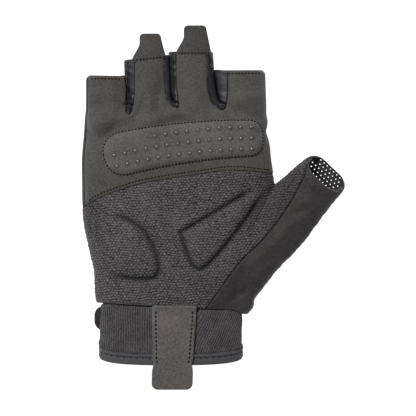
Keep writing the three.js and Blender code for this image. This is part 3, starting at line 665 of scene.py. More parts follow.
def finger_at(place):
    """The number of the finger that a place beyond the webs belongs to"""
    return sum(place[0] > slit_middle(index, place[1]) for index in range(len(SLITS)))


for number, finger in enumerate(FINGERS.values()):
    section = finger_section(finger, 1)
    hem = section["centre"] + FORWARD * section["lean"] * section["middle"]
    heading = np.cross(section["across"], (0, section["lean"], -1))
    near_hem = hem[1] - 5
    cut_end(
        form, hem, heading * np.sign(heading[1]),
        lambda c: c[1] > near_hem and finger_at(c) == number,
    )

section = thumb_section(1)
lip = section["centre"] + THUMB_AHEAD * (section["lean"] * section["middle"] - LIP_BACK)
heading = THUMB_AHEAD + np.array([0, 0, section["lean"] + LIP_LEAN])
cut_end(form, lip, heading, lambda c: np.dot(c - lip, THUMB_AHEAD) > -16 and c[0] > PALM_WIDTH / 2)
cut_end(
    form, (0, wrist_seam(0) + SEAM_GAP / 2, 0), (-WRIST_SEAM_FALL, -1, 0), lambda c: c[1] < 6
)
shape_form(form)
print("form after its cuts:", len(form.data.polygons), "faces")

# %% [markdown]
# ## Seam lines
#
# Seen from above, each cloth is bounded by the real glove's seams, curves through a few points.
# Its area becomes a standing prism, and what the form and the prism share is that cloth's skin.

# %% Seam lines and areas
FAR = 200
HIGH = 60

MID_SEAM = [
    (-0.6, 0.45), (-0.477, 0.51), (-0.392, 0.558), (-0.17, 0.627),
    (0.127, 0.673), (0.313, 0.693), (0.56, 0.668),
]
THUMB_SEAM = [
    (1.15, 0.5), (0.97, 0.43), (0.88, 0.29), (0.68, 0.1), (0.45, 0.01),
    (0.29, 0.03), (0.15, 0), (-0.12, -0.12), (-0.3, -0.2),
]
THUMB_BACK_SEAM = [(1, 1), (0.76, 0.66), (0.69, 0.38), (0.52, 0), (0.32, -0.3), (0.3, -1.2)]


def curve_through(points, count):
    """A smooth curve through points, as count + 1 places"""
    p = np.array(points, float)
    p = np.vstack([p[0], p, p[-1]])
    place = np.linspace(0, len(points) - 1, count + 1)
    i = np.minimum(place.astype(int), len(points) - 2)
    t = (place - i)[:, None]
    a, b, c, d = p[i], p[i + 1], p[i + 2], p[i + 3]
    return 0.5 * (
        2 * b + (c - a) * t + (2 * a - 5 * b + 4 * c - d) * t**2 + (3 * b - a - 3 * c + d) * t**3
    )


def palm_points(rows):
    return [(across * PALM_WIDTH, along * PALM_LENGTH) for across, along in rows]


def thumb_points(rows):
    return [thumb_point(along, web)[:2] for along, web in rows]


mid_seam = curve_through(palm_points(MID_SEAM), 80)
thumb_seam = curve_through(thumb_points(THUMB_SEAM), 80)
thumb_back_seam = curve_through(thumb_points(THUMB_BACK_SEAM), 60)

side_seam = [
    (column(PALM_SECTIONS, "little", s) * PALM_WIDTH + SIDE_SEAM_INSET, s * PALM_LENGTH)
    for s in np.linspace(0.53, 0.97, 12)
]
little_hem = finger_section(FINGERS["pinky"], 1)
side_seam.append(little_hem["centre"][:2] + (little_hem["low"] + SIDE_SEAM_INSET, 0))
side_seam = np.array(side_seam)

suede_area = np.vstack([
    side_seam,
    [(side_seam[-1, 0], FAR), (mid_seam[-1, 0], FAR)],
    mid_seam[::-1][mid_seam[::-1, 0] > side_seam[0, 0]],
])
knit_area = np.vstack([
    [(-FAR, -FAR), (-FAR, mid_seam[0, 1])],
    mid_seam,
    [(thumb_seam[0, 0], FAR)],
    thumb_seam,
    [(thumb_seam[-1, 0], -FAR)],
])
thumb_area = np.vstack([
    [(thumb_seam[0, 0], FAR)],
    thumb_seam,
    [(thumb_seam[-1, 0], -FAR), (FAR, -FAR), (FAR, FAR)],
])
thumb_back_area = np.vstack([
    [(thumb_back_seam[0, 0], FAR)],
    thumb_back_seam,
    [(FAR, -FAR), (FAR, FAR)],
])


def bezier(a, b, c, d, count=14):
    t = np.linspace(0, 1, count + 1)[1:, None]
    a, b, c, d = (np.array(p, float) for p in (a, b, c, d))
    return a * (1 - t) ** 3 + 3 * b * t * (1 - t) ** 2 + 3 * c * t * t * (1 - t) + d * t**3


def gusset_area(gusset, left, right):
    """Straight between the fingers, with a round foot at the web"""
    def place(across, along):
        return (across * PALM_WIDTH, along * PALM_LENGTH)

    foot, bottom, spread = gusset["foot"], gusset["bottom"], gusset["spread"]
    turn_at = bottom + GUSSET_NARROWS
    toe = place(foot, bottom)
    down = bezier(
        place(left, turn_at), place(left, bottom + 0.06), place(foot - spread, bottom), toe
    )
    back = bezier(
        toe, place(foot + spread * 0.6, bottom), place(right, bottom + 0.06), place(right, turn_at)
    )
    start = [(left * PALM_WIDTH, FAR), place(left, turn_at)]
    return np.vstack([start, down, back, [(right * PALM_WIDTH, FAR)]])


def grown(points, by):
    """An outline moved outwards by a distance, all round"""
    p = np.array(points)
    x, y = p.T
    if np.sum(x * np.roll(y, -1) - np.roll(x, -1) * y) < 0:
        p = p[::-1]
    a = units(p - np.roll(p, 1, 0))
    b = np.roll(a, -1, 0)
    out = units(np.stack([a[:, 1] + b[:, 1], -a[:, 0] - b[:, 0]], 1))
    miter = np.maximum(0.4, out[:, 0] * a[:, 1] - out[:, 1] * a[:, 0])
    return p + out * (by / miter)[:, None]


def prism(name, points, low, high):
    """A closed standing prism, all its faces numbered as cut"""
    count = len(points)
    places = [(x, y, low) for x, y in points] + [(x, y, high) for x, y in points]
    faces = [tuple(range(count))[::-1], tuple(range(count, 2 * count))]
    faces += [(i, (i + 1) % count, count + (i + 1) % count, count + i) for i in range(count)]
    piece = add_piece(name, places, faces)
    for face in piece.data.polygons:
        face.material_index = CUT
    return piece


def boolean(piece, other, operation):
    settings = {"object": other, "operation": operation, "material_mode": "INDEX"}
    apply_modifier(piece, "BOOLEAN", solver="MANIFOLD", **settings)
    remove_piece(other)


def gusset_cutter(gusset, grow):
    """A wedge that is widest where it shows, and reaches under the fingers further down"""
    low = GUSSET_SEAM_HEIGHT - grow
    shown = gusset_area(gusset, gusset["left"], gusset["right"])
    under = gusset_area(gusset, gusset["under_left"], gusset["under_right"])
    cutter = prism("cutter", grown(shown, grow), low, HIGH)
    fold = prism("fold", grown(under, grow), low + 0.01, GUSSET_FOLD_HEIGHT + grow)
    boolean(cutter, fold, "UNION")
    return cutter


def front_cutter(area, grow):
    return prism("cutter", grown(area, grow), SEAM_HEIGHT - grow, HIGH)


def thumb_back_cutter(grow):
    return prism("cutter", grown(thumb_back_area, grow), -5, SEAM_HEIGHT + grow)


print("areas:", [len(a) for a in (suede_area, knit_area, thumb_area, thumb_back_area)], "points")

# %% [markdown]
# ## Cut the cloths
#
# A copy of the form is crossed with each prism, and the faces that come from the prism are
# deleted. What is left is a skin with exact edges, rolled down over a millimetre where the real
# cloth is turned under and sewn. A second skin inside it, joined at the rim, gives the wall, and
# the outer face stays where the form was.

# %% Skins
HALF_GAP = 0.02
SUEDE_LAP = 0.15
for number in (CLOTH, CUT):
    form.data.materials.append(bpy.data.materials.new(f"plain_{number}"))


def copy_of(piece, name):
    twin = piece.copy()
    twin.data = piece.data.copy()
    twin.name = name
    bpy.context.collection.objects.link(twin)
    return twin


def strip_cuts(piece):
    """Deletes the cut faces, and leaves the open skin"""
    with open_mesh(piece) as bm:
        cuts = [f for f in bm.faces if f.material_index == CUT]
        bmesh.ops.delete(bm, geom=cuts, context="FACES")
        bmesh.ops.dissolve_degenerate(bm, edges=bm.edges, dist=2e-5)
        loose = [v for v in bm.verts if not v.link_faces]
        bmesh.ops.delete(bm, geom=loose, context="VERTS")


def border_places(piece):
    """The places on a skin's open edges"""
    with open_mesh(piece) as bm:
        rim = [tuple(v.co) for v in bm.verts if v.is_boundary]
    return (np.array(rim) - ORIGIN) / MM


def distance_to(targets, places, limit):
    """How far each place is from the nearest target, up to a limit"""
    tree = KDTree(len(targets))
    for i, target in enumerate(targets):
        tree.insert(target, i)
    tree.balance()
    return np.array([min(limit, tree.find(p)[2]) for p in places])


def even_normals(piece):
    """A skin's normals, each averaged with those of its neighbours a few times"""
    n = normals_of(piece)
    here, there = numbers_of(piece.data.edges, "vertices", 2, int).T
    for _ in range(4):
        total = n.copy()
        np.add.at(total, here, n[there])
        np.add.at(total, there, n[here])
        n = units(total)
    return n


def roll_edges(piece, radius, drop):
    """Turns a skin's open edges inwards, as a sewn edge turns under; gives back the old normals"""
    p, n = places_of(piece), even_normals(piece)
    away = distance_to(border_places(piece), p, radius)
    share = 1 - away / radius
    move_to(piece, p - n * (drop * (1 - np.sqrt(1 - 0.98 * share**2)))[:, None])
    return n


def trim_hems(piece):
    """Keeps the outer fingers' corners behind their hems"""
    p = places_of(piece)
    for name, side in OUTER_FINGERS:
        end = hem_place(name)
        inner = side * slit_middle(0 if side < 0 else 2, end)
        near = (side * p[:, 0] > inner + 2) & (side * p[:, 0] < 56)
        p[near, 1] = np.minimum(p[near, 1], end + 0.25)
    move_to(piece, p)


def thicken(piece, wall, outward):
    """Gives a skin an inner face, a wall's thickness inwards, and closes the rim between both"""
    inner = in_frame(places_of(piece) - outward * wall)
    with open_mesh(piece) as bm:
        rim = [loop for edge in bm.edges if edge.is_boundary for loop in edge.link_loops]
        rim = [(loop.vert, loop.link_loop_next.vert) for loop in rim]
        faces = [tuple(face.verts) for face in bm.faces]
        twins = [bm.verts.new(place) for place in inner]
        for face in faces:
            bm.faces.new([twins[v.index] for v in reversed(face)])
        for here, there in rim:
            bm.faces.new((there, here, twins[here.index], twins[there.index]))


def skin(name, inside=None, outside=()):
    """The part of the form inside one cutter and outside others, without its cut faces"""
    piece = copy_of(form, name)
    if inside:
        boolean(piece, inside, "INTERSECT")
    for cutter in outside:
        boolean(piece, cutter, "DIFFERENCE")
    strip_cuts(piece)
    return piece


def gusset_cutters():
    return [gusset_cutter(gusset, HALF_GAP) for gusset in GUSSETS]


palm_suede = skin("palm_suede", front_cutter(suede_area, SUEDE_LAP), gusset_cutters())
palm_knit = skin("palm_knit", front_cutter(knit_area, -HALF_GAP))
thumb_cloth = skin("thumb_cloth", front_cutter(thumb_area, -HALF_GAP))
thumb_mesh = skin("thumb_mesh", thumb_back_cutter(-HALF_GAP))
gussets = [
    skin(f"finger_gusset_{i + 1}", gusset_cutter(gusset, -HALF_GAP))
    for i, gusset in enumerate(GUSSETS)
]
fronts = [front_cutter(area, HALF_GAP) for area in (suede_area, knit_area, thumb_area)]
back_cloth = skin("back_cloth", None, [*fronts, thumb_back_cutter(HALF_GAP), *gusset_cutters()])
for piece in [palm_suede, palm_knit, thumb_cloth, thumb_mesh, back_cloth] + gussets:
    print(piece.name, len(piece.data.polygons), "faces")

# %% [markdown]
# ## Give the cloths their thickness
#
# The skins are still paper thin. Each is rolled under along its seams and gets the wall that its
# cloth has: suede and knit one and a half millimetres, stretch cloth about one. The gussets get
# painted shade along their seams and in their fold, which a number stored at each point keeps.


# %% Walls of the plain cloths
def write_shade(piece, values):
    """Stores how much light reaches each point, for the colour to follow"""
    layer = piece.data.attributes.new("shade", "FLOAT", "POINT")
    layer.data.foreach_set("value", np.clip(values, 0, 1).astype(np.float32))


# The painted shade in each gusset's fold: its place beside the slit, its lean and its reach
GUSSET_FOLD_SHADES = [(1.9, -0.02, 0.8), (1.1, 0.02, 1.5), (0.2, -0.11, 1.0)]


def shade_gusset(piece, index, seam_places):
    """Painted shade along its seams and in its fold"""
    p = places_of(piece)
    seam = smoothstep(distance_to(seam_places, p, 2), 0.3, 1.9)
    away = p[:, 0] - slit_middle(index, p[:, 1])
    bottom = GUSSETS[index]["bottom"] * PALM_LENGTH
    at, lean, reach = GUSSET_FOLD_SHADES[index]
    fold = hill(away - at - lean * (p[:, 1] - bottom), reach)
    fold = fold * smoothstep(p[:, 1], bottom, bottom + 3)
    # Painted shade: darkest at the seams and in the fold
    write_shade(piece, (0.1 + 0.9 * seam) * (1 - 0.85 * fold))


SUEDE_PROUD = 0.3
move_to(palm_suede, places_of(palm_suede) + even_normals(palm_suede) * SUEDE_PROUD)
for piece, radius, drop, wall in [
    (palm_suede, 1.1, 0.55, SUEDE_WALL),
    (thumb_cloth, 1.4, 1.1, KNIT_WALL),
    (thumb_mesh, 0.9, 0.4, MESH_WALL),
    (back_cloth, 1.1, 0.6, STRETCH_WALL),
    *((gusset, 1.0, 0.7, STRETCH_WALL) for gusset in gussets),
]:
    outward = roll_edges(piece, radius, drop)
    seam_places = border_places(piece)
    thicken(piece, wall, outward)
    trim_hems(piece)
    if piece in gussets:
        shade_gusset(piece, gussets.index(piece), seam_places)
    print(piece.name, "has walls of", wall, "mm")

# %% [markdown]
# ## The knitted heel
#
# The lower palm is one spacer knit over two soft pads, which stand out like cushions inside a
# pressed groove. Pads and grooves move the skin's points. The knit's small staggered bumps are
# real shape too: the outer face is divided once more and lifted by a product of two cosines.

# %% Pads and grooves
HEEL_PAD = [
    (-0.34, 0.459), (-0.27, 0.447), (-0.17, 0.387), (-0.112, 0.29), (-0.088, 0.2),
    (-0.105, 0.152), (-0.16, 0.138), (-0.265, 0.146), (-0.345, 0.172), (-0.385, 0.3),
    (-0.395, 0.41),
]
THUMB_BASE_PAD = [
    (0.026, 0.378), (0.19, 0.469), (0.374, 0.574), (0.438, 0.6), (0.452, 0.565),
    (0.389, 0.468), (0.315, 0.372), (0.241, 0.286), (0.155, 0.2), (0.11, 0.194), (0.07, 0.25),
]
GROOVE_DEPTH = 2.2
GROOVE_REACH = 1.5
PAD_TIP = (43.8, 62.4)
PAD_CROWN = 1.2


def closed_curve(rows):
    return curve_through(palm_points([*rows, rows[0]]), 88)[:-1]


def signed_distance(places, outline):
    """Distance to a closed outline, positive inside it"""
    p = places[:, None, :2]
    a, b = outline[None], np.roll(outline, -1, 0)[None]
    edge = b - a
    t = np.clip(((p - a) * edge).sum(2) / (edge * edge).sum(2), 0, 1)
    away = np.linalg.norm(p - a - edge * t[..., None], axis=2).min(1)
    x, y = p[..., 0], p[..., 1]
    crossed = (a[..., 1] > y) != (b[..., 1] > y)
    meets = a[..., 0] + (y - a[..., 1]) / (edge[..., 1] + 1e-12) * edge[..., 0]
    inside = (crossed & (x < meets)).sum(1) % 2 == 1
    return np.where(inside, away, -away)


def pad_relief(p):
    """How deep the groove and how high the crown is at each place"""
    groove, crown = np.zeros(len(p)), np.zeros(len(p))
    fades = [
        (HEEL_PAD, 0.08 + 0.92 * smoothstep(p[:, 0], -36, -26)),
        (THUMB_BASE_PAD, smoothstep(np.hypot(p[:, 0] - PAD_TIP[0], p[:, 1] - PAD_TIP[1]), 1, 11)),
    ]
    for rows, strength in fades:
        deep = signed_distance(p, closed_curve(rows))
        groove += hill(deep, GROOVE_REACH) * strength
        crown += smoothstep(deep, 0, 7) * strength
    return groove, crown


def press_pads(piece):
    p, n = places_of(piece), normals_of(piece)
    groove, crown = pad_relief(p)
    move_to(piece, p + n * (crown * PAD_CROWN - groove * GROOVE_DEPTH)[:, None])


press_pads(palm_knit)
knit_outward = roll_edges(palm_knit, 1.2, 0.9)
skin_points = len(palm_knit.data.vertices)
knit_border = border_places(palm_knit)
thicken(palm_knit, KNIT_WALL, knit_outward)
print("knit wall:", len(palm_knit.data.polygons), "faces")

# %% [markdown]
# ### A map of the cloth
#
# A weave follows the cloth over its curves, so its places are measured along the cloth. Rays
# sent down on the form give its height on a grid, and the sloping lengths, summed from the middle
# line outwards, say how far across each place lies. The map goes into a UV layer, in decimetres.

# %% Cloth map
MAP_UNIT = 100
MAP_STEP = 1.0


def ray_tree(pieces):
    places, faces = [], []
    for piece in pieces:
        start = len(places)
        places += [v.co.copy() for v in piece.data.vertices]
        faces += [[start + i for i in f.vertices] for f in piece.data.polygons]
    return BVHTree.FromPolygons(places, faces)


def height_on(tree, x, y, missing=0.0):
    """Height of what lies under a place, in pattern millimetres"""
    start = Vector(in_frame((x, y, HIGH)))
    hit = tree.ray_cast(start, Vector((0, 0, -1)))[0]
    return missing if hit is None else hit.z / MM


form_tree = ray_tree([form])
map_x = np.arange(-54, 95, MAP_STEP)
map_y = np.arange(-34, 140, 2 * MAP_STEP)
map_z = np.array([[height_on(form_tree, x, y, SEAM_HEIGHT) for x in map_x] for y in map_y])
slopes = np.gradient(map_z, MAP_STEP, axis=1)
lengths = np.sqrt(1 + np.clip(slopes, -4, 4) ** 2) * MAP_STEP
map_u = np.cumsum(lengths, axis=1)
map_u -= map_u[:, np.argmin(np.abs(map_x))][:, None]


def across_cloth(x, y):
    """Distance across the cloth from the glove's middle line"""
    i = np.clip((x - map_x[0]) / MAP_STEP, 0, len(map_x) - 1.001)
    j = np.clip((y - map_y[0]) / (2 * MAP_STEP), 0, len(map_y) - 1.001)
    i0, j0 = i.astype(int), j.astype(int)
    fi, fj = i - i0, j - j0
    low = map_u[j0, i0] * (1 - fi) + map_u[j0, i0 + 1] * fi
    high = map_u[j0 + 1, i0] * (1 - fi) + map_u[j0 + 1, i0 + 1] * fi
    return low * (1 - fj) + high * fj


def cloth_places(p):
    """Places along the cloth, with the little waver that knitting has"""
    u = across_cloth(p[:, 0], p[:, 1])
    v = p[:, 1]
    waver = 0.4 * np.sin(0.31 * v + 0.11 * u) + 0.2 * np.sin(0.83 * u - 1.3 * v)
    waver += 0.13 * np.sin(2.1 * u + 1.7 * v)
    drift = 0.4 * np.sin(0.27 * u + 0.9) + 0.2 * np.sin(0.71 * v + 0.75 * u)
    drift += 0.12 * np.sin(1.9 * u - 2.3 * v)
    return np.stack([u + waver, v + drift], 1)


def write_map(piece, places):
    """Stores one place per point as the piece's UV layer"""
    layer = piece.data.uv_layers.new(name="cloth")
    loops = numbers_of(piece.data.loops, "vertex_index", 1, int).ravel()
    layer.data.foreach_set("uv", (places[loops] / MAP_UNIT).ravel())


print("cloth map:", map_u.shape, "places,", round(float(np.ptp(map_u)), 1), "mm across")

# %% The knit's bumps
KNIT_PITCH = 1.8
KNIT_ROW = 1.38
KNIT_RELIEF = 0.36
WEB_SHADE_PLACE = (60, 54)


def knit_height(places):
    """Height of the knit from 0 in its pits to 1 on its bumps, in staggered rows"""
    u, v = places.T
    wave = np.cos(2 * np.pi * u / KNIT_PITCH) * np.cos(np.pi * v / KNIT_ROW)
    return 0.5 + 0.27 * wave + 0.23 * np.cos(2 * np.pi * v / KNIT_ROW)


def divide_outer(piece, count):
    """Divides the outer face once; gives back which points belong to it"""
    with open_mesh(piece) as bm:
        faces = [f for f in bm.faces if all(v.index < count for v in f.verts)]
        mark = bm.verts.layers.int.new("outer")
        for vert in {v for f in faces for v in f.verts}:
            vert[mark] = 1
        edges = list({e for f in faces for e in f.edges})
        made = bmesh.ops.subdivide_edges(bm, edges=edges, cuts=1, use_grid_fill=True)
        for item in made["geom_inner"]:
            if isinstance(item, bmesh.types.BMVert):
                item[mark] = 1
        return np.array([v[mark] == 1 for v in bm.verts])


outer = divide_outer(palm_knit, skin_points)
knit_p = places_of(palm_knit)
knit_places = cloth_places(knit_p)
from_edge = distance_to(knit_border, knit_p, 3)
lift = KNIT_RELIEF * knit_height(knit_places) * smoothstep(from_edge, 0.4, 1.6) * outer
groove_shade = pad_relief(knit_p)[0]
move_to(palm_knit, knit_p + normals_of(palm_knit) * lift[:, None])
write_map(palm_knit, knit_places)
# Painted shade for the colour: darker in the pads' grooves, along the seams, near the thumb's web and
# towards the left side
web = hill(knit_p[:, 0] - WEB_SHADE_PLACE[0], 16) * hill(knit_p[:, 1] - WEB_SHADE_PLACE[1], 28)
seam_shade = hill(from_edge, 0.8)
write_shade(palm_knit, (1 - 0.78 * groove_shade) * (1 - 0.8 * seam_shade) * (1 - 0.46 * web)
            * (1 - 0.3 * smoothstep(-knit_p[:, 0], 34, 46)))
print("knit:", len(palm_knit.data.polygons), "faces with bumps of", KNIT_RELIEF, "mm")

# %% [markdown]
# ## The ventilated back of the thumb
#
# The thumb's back is a firm mesh with round holes in staggered rows. A small prism stands for
# each hole, and the whole field of them is cut from the wall in a single boolean.

# %% Holes of the thumb's mesh
HOLE_RADIUS = 0.35
HOLE_PITCH = 2.3
HOLE_FROM_EDGE = 2.2
HOLE_FIELD = 24
HOLE_SIDES = 10


def hole_places():
    section = thumb_section(1)
    lip_along = THUMB_LENGTH + section["lean"] * (section["middle"] - section["base"])
    row_pitch = HOLE_PITCH * math.sin(math.pi / 3)
    found = []
    for row in range(int(HOLE_FIELD / row_pitch)):
        along = (lip_along - HOLE_FROM_EDGE - row * row_pitch) / THUMB_LENGTH
        here = thumb_section(min(1, along))
        room = (here["high"] - here["low"]) / 2 - MESH_WALL - 2.2
        centre = (here["high"] + here["low"]) / 2
        steps = np.arange(-math.floor(room / HOLE_PITCH), math.floor(room / HOLE_PITCH) + 1)
        for side in steps * HOLE_PITCH + (row % 2) * HOLE_PITCH / 2:
            if abs(side) <= room:
                found.append(thumb_point(along, -(centre + side) / THUMB_WIDTH))
    return np.array(found)


def punch_holes(piece):
    centres = hole_places()
    turns = np.linspace(0, 2 * np.pi, HOLE_SIDES, endpoint=False)
    circle = HOLE_RADIUS * np.column_stack([np.cos(turns), np.sin(turns), 0 * turns])
    places, faces = [], []
    for x, y, _ in centres:
        start = len(places) * HOLE_SIDES
        places += [circle + (x, y, z) for z in (-3, SEAM_HEIGHT)]
        low = range(start, start + HOLE_SIDES)
        high = range(start + HOLE_SIDES, start + 2 * HOLE_SIDES)
        faces += [tuple(low[::-1]), tuple(high)]
        faces += grid_faces(2, HOLE_SIDES, start, loop_across=True)
    boolean(piece, add_piece("punch", np.vstack(places), faces), "DIFFERENCE")
    return len(centres)


print("holes in the thumb's back:", punch_holes(thumb_mesh))

# %% [markdown]
# ## The grip pad and its dots
#
# A padded strip is stitched to the suede across the knuckles. It climbs a little towards the
# thumb, and its top is a soft crown, thin at the stitched edge and full inside. Three rows of
# small silicone dots sit on it for grip, each ringed by painted shade where it meets the suede.

# %% Grip pad
GRIP_PAD_LENGTH = 84.6
GRIP_PAD_HEIGHT = 24.2
GRIP_PAD_NARROWS = 4.8
GRIP_PAD_CROWN = 1.9
GRIP_PAD_EDGE = 0.3
GRIP_PAD_RISE = 10.7
GRIP_PAD_CORNER = 7
GRIP_PAD_START = (-0.382, 0.7515)
STITCH_INSET = 0.5


def grip_place(along, up):
    share = along / GRIP_PAD_LENGTH
    slope = 2 * GRIP_PAD_RISE * (1 - share) / GRIP_PAD_LENGTH
    climb = GRIP_PAD_RISE * (1 - (1 - share) ** 2)
    x = GRIP_PAD_START[0] * PALM_WIDTH + along
    y = GRIP_PAD_START[1] * PALM_LENGTH + climb
    unit = math.hypot(slope, 1)
    return x - up * slope / unit, y + up / unit


def grip_half(along, inset=0.0):
    """Half the pad's height at a distance along it, less an inset all round"""
    half = (GRIP_PAD_HEIGHT - GRIP_PAD_NARROWS * along / GRIP_PAD_LENGTH) / 2 - inset

    def corner(distance, radius):
        away = max(0.0, distance - inset)
        return 0 if away >= radius else radius - math.sqrt(radius**2 - (radius - away) ** 2)

    start = GRIP_PAD_HEIGHT / 2 - GRIP_PAD_NARROWS / 4 - inset
    return half - max(corner(along, start), corner(GRIP_PAD_LENGTH - along, GRIP_PAD_CORNER))


suede_tree = ray_tree([palm_suede])


def pad_line(inset, count):
    """The pad's outline seen from above, drawn in by an inset, as places in order"""
    line = []
    stops = np.linspace(max(inset, 0.001), GRIP_PAD_LENGTH - max(inset, 0.001), count)
    for side in (1, -1):
        line += [grip_place(a, side * max(0.0, grip_half(a, inset))) for a in stops][::side]
    return np.array(line)


stitch_path = pad_line(STITCH_INSET, 240)
pad_outline = pad_line(0, 200)


def pad_top(places):
    """Rise of the pad above the suede: a thin edge, then a full crown"""
    parts = [signed_distance(part, pad_outline) for part in np.array_split(places, 40)]
    deep = np.concatenate(parts)
    edge = GRIP_PAD_EDGE * np.sqrt(np.clip(deep / 0.4, 0, 1))
    full = 1 - (1 - np.clip((deep - STITCH_INSET) / 3.4, 0, 1)) ** 2
    return edge + (GRIP_PAD_CROWN - GRIP_PAD_EDGE) * full


def grip_pad_mesh():
    alongs = GRIP_PAD_LENGTH * (1 - np.cos(np.linspace(0, np.pi, 230))) / 2
    alongs = 0.4 * alongs + 0.6 * np.linspace(0, GRIP_PAD_LENGTH, 230)
    shares = np.sin(np.linspace(-np.pi / 2, np.pi / 2, 66))
    shares = 0.6 * shares + 0.4 * np.linspace(-1, 1, 66)
    base = []
    for along in np.clip(alongs, 0.02, GRIP_PAD_LENGTH - 0.02):
        for share in shares:
            x, y = grip_place(along, share * grip_half(along))
            base.append((x, y, height_on(suede_tree, x, y, 20) + 0.05))
    base = np.array(base)
    top = base + UP * (0.07 + pad_top(base))[:, None]
    return slab("grip_strip", base, top, len(alongs), len(shares))


grip_strip = grip_pad_mesh()
pad_tree = ray_tree([grip_strip])
print("grip strip:", len(grip_strip.data.polygons), "faces")

# %% Silicone dots
DOT_COLUMNS = 14
DOT_PITCH = 5.55
DOT_ROW_PITCH = 5.8
DOT_RADIUS = 1.0
DOT_HEIGHT = 0.42
DOT_FIRST = 6
DOT_ROW_SHORTER_BY = 4


def template(add, shape, scale):
    """The places and faces of a small primitive, shaped once and then copied"""
    bpy.ops.object.select_all(action="DESELECT")
    add()
    made = bpy.context.object
    bpy.ops.object.mode_set(mode="EDIT")
    bpy.ops.mesh.select_all(action="SELECT")
    bpy.ops.transform.resize(value=scale)
    shape()
    bpy.ops.object.mode_set(mode="OBJECT")
    places = np.array([v.co[:] for v in made.data.vertices])
    faces = [tuple(f.vertices) for f in made.data.polygons]
    remove_piece(made)
    return places, faces


def copies(name, model, centres, headings=None, ups=None):
    """One piece from many copies of a small model, each turned to its heading"""
    places, faces = model
    made, all_faces = [], []
    for i, centre in enumerate(centres):
        x = SIDEWAYS if headings is None else headings[i] / np.linalg.norm(headings[i])
        y = np.cross(UP if ups is None else ups[i], x)
        y = y / np.linalg.norm(y)
        made.append(centre + places @ np.stack([x, y, np.cross(x, y)]))
        all_faces += [tuple(i * len(places) + k for k in f) for f in faces]
    return add_piece(name, np.vstack(made), all_faces)


def dome():
    return template(
        lambda: bpy.ops.mesh.primitive_uv_sphere_add(segments=14, ring_count=8, radius=1),
        lambda: bpy.ops.mesh.bisect(
            plane_co=(0, 0, -0.25), plane_no=(0, 0, 1), clear_inner=True, use_fill=True
        ),
        (DOT_RADIUS, DOT_RADIUS, DOT_HEIGHT),
    )


dot_centres = []
for row in (-1, 0, 1):
    for i in range(DOT_ROW_SHORTER_BY if row == 1 else 0, DOT_COLUMNS):
        x, y = grip_place(DOT_FIRST + i * DOT_PITCH, row * DOT_ROW_PITCH)
        dot_centres.append((x, y, height_on(pad_tree, x, y, 20)))
silicone_dots = copies("silicone_dots", dome(), np.array(dot_centres))
strip_p = places_of(grip_strip)
to_dot = distance_to([(x, y, 0) for x, y, _ in dot_centres], strip_p * (1, 1, 0), 3)
# Painted shade: a dark ring round the foot of each dot
write_shade(grip_strip, 1 - 0.75 * hill(to_dot - DOT_RADIUS - 0.12, 0.32))
print("silicone dots:", len(dot_centres))

# %% [markdown]
# ## Pull tabs
#
# The ring and middle fingers have suede tabs to pull the glove off by. Each is sewn on the hem,
# narrows in a soft curve and ends round. A tab is drawn as rows of places on its underside, and
# its upper side stands above them, rounded down towards the edges.


# %% Pull tabs
PULL_TABS = {
    "ring_tab": ("ring", 0.76, 0.46, 12.9, 0.05),
    "middle_tab": ("middle", 0.9, 0.56, 14.2, 0.055),
}
TAB_THICKNESS = 2.0
TAB_CORNER = 2.2
TAB_DROOP = 1.5
TAB_LAP = 1.6
TAB_EDGE = 0.7
TAB_SUNK = 1.75


def flap(name, rows, thickness, edge):
    """A flat piece of cloth with rounded upper edges, from rows of places on its underside"""
    count, wide = len(rows), len(rows[0])
    lower = np.array(rows, float).reshape(-1, 3)
    outline = lower[outline_of(count, wide)][:, :2]
    short = 1 - np.clip(signed_distance(lower, outline) / edge, 0, 1)
    rise = thickness - edge * (1 - np.sqrt(1 - 0.98 * short**2))
    return slab(name, lower, lower + UP * rise[:, None], count, wide)


def shares_across(count):
    """Places from -1 to 1, closer together towards both ends"""
    return 0.75 * np.sin(np.linspace(-np.pi / 2, np.pi / 2, count)) + 0.25 * np.linspace(-1, 1, count)


def round_end(distance, radius):
    """How far a rounded corner cuts in at a distance from the end"""
    return radius - math.sqrt(max(0, radius**2 - max(0, radius - distance) ** 2))


def finger_height(section, side):
    """Height of a finger's palm side at a distance from its middle"""
    share = min(0.97, abs(side) / section["high"])
    rise = (1 - share ** section["squareness"]) ** (1 / section["squareness"])
    return section["middle"] + (section["top"] - section["middle"]) * rise + 0.3


def pull_tab(name, finger_name, base, top, length, shift):
    finger = FINGERS[finger_name]
    section = finger_section(finger, 1)
    width = section["high"] - section["low"]
    hem = section["centre"][1] - section["lean"] * section["top"] / 2
    stops = np.concatenate([
        np.linspace(-TAB_LAP, length - TAB_CORNER, 34),
        length - TAB_CORNER * (1 - np.sin(np.linspace(0, np.pi / 2, 9)[1:])),
    ])
    rows = []
    for y in stops:
        away = max(0, y) / length
        cut = round_end(length - y, TAB_CORNER)
        # The side towards the little finger flares low, the other one runs straight
        flare, run = float(smoothstep(away, -0.12, 0.62)), min(1, away / 0.85)
        flare = flare + 0.1 * (1 - away) * (1 - flare)
        left = -width / 2 * (base + (top - base) * flare) + shift * width * flare + cut
        right = width / 2 * (base + (top - base) * run) + shift * width * run - cut
        flat = float(smoothstep(away, 0, 0.8))
        row = []
        for v in (shares_across(33) + 1) / 2:
            side = left + v * (right - left)
            over = finger_height(section, side)
            lies = over * (1 - flat) + (section["top"] - TAB_DROOP) * flat
            ripple = 0.3 * math.sin(3.4 * v + 0.35 * y) * flat
            slant = finger["slant"] * side * (1 - float(smoothstep(away, 0, 0.7)))
            row.append((section["centre"][0] + side, hem + y + slant, lies - TAB_SUNK + ripple))
        rows.append(row)
    return flap(name, rows, TAB_THICKNESS, TAB_EDGE)


tabs = [pull_tab(name, *row) for name, row in PULL_TABS.items()]
print("tabs:", [len(tab.data.polygons) for tab in tabs])

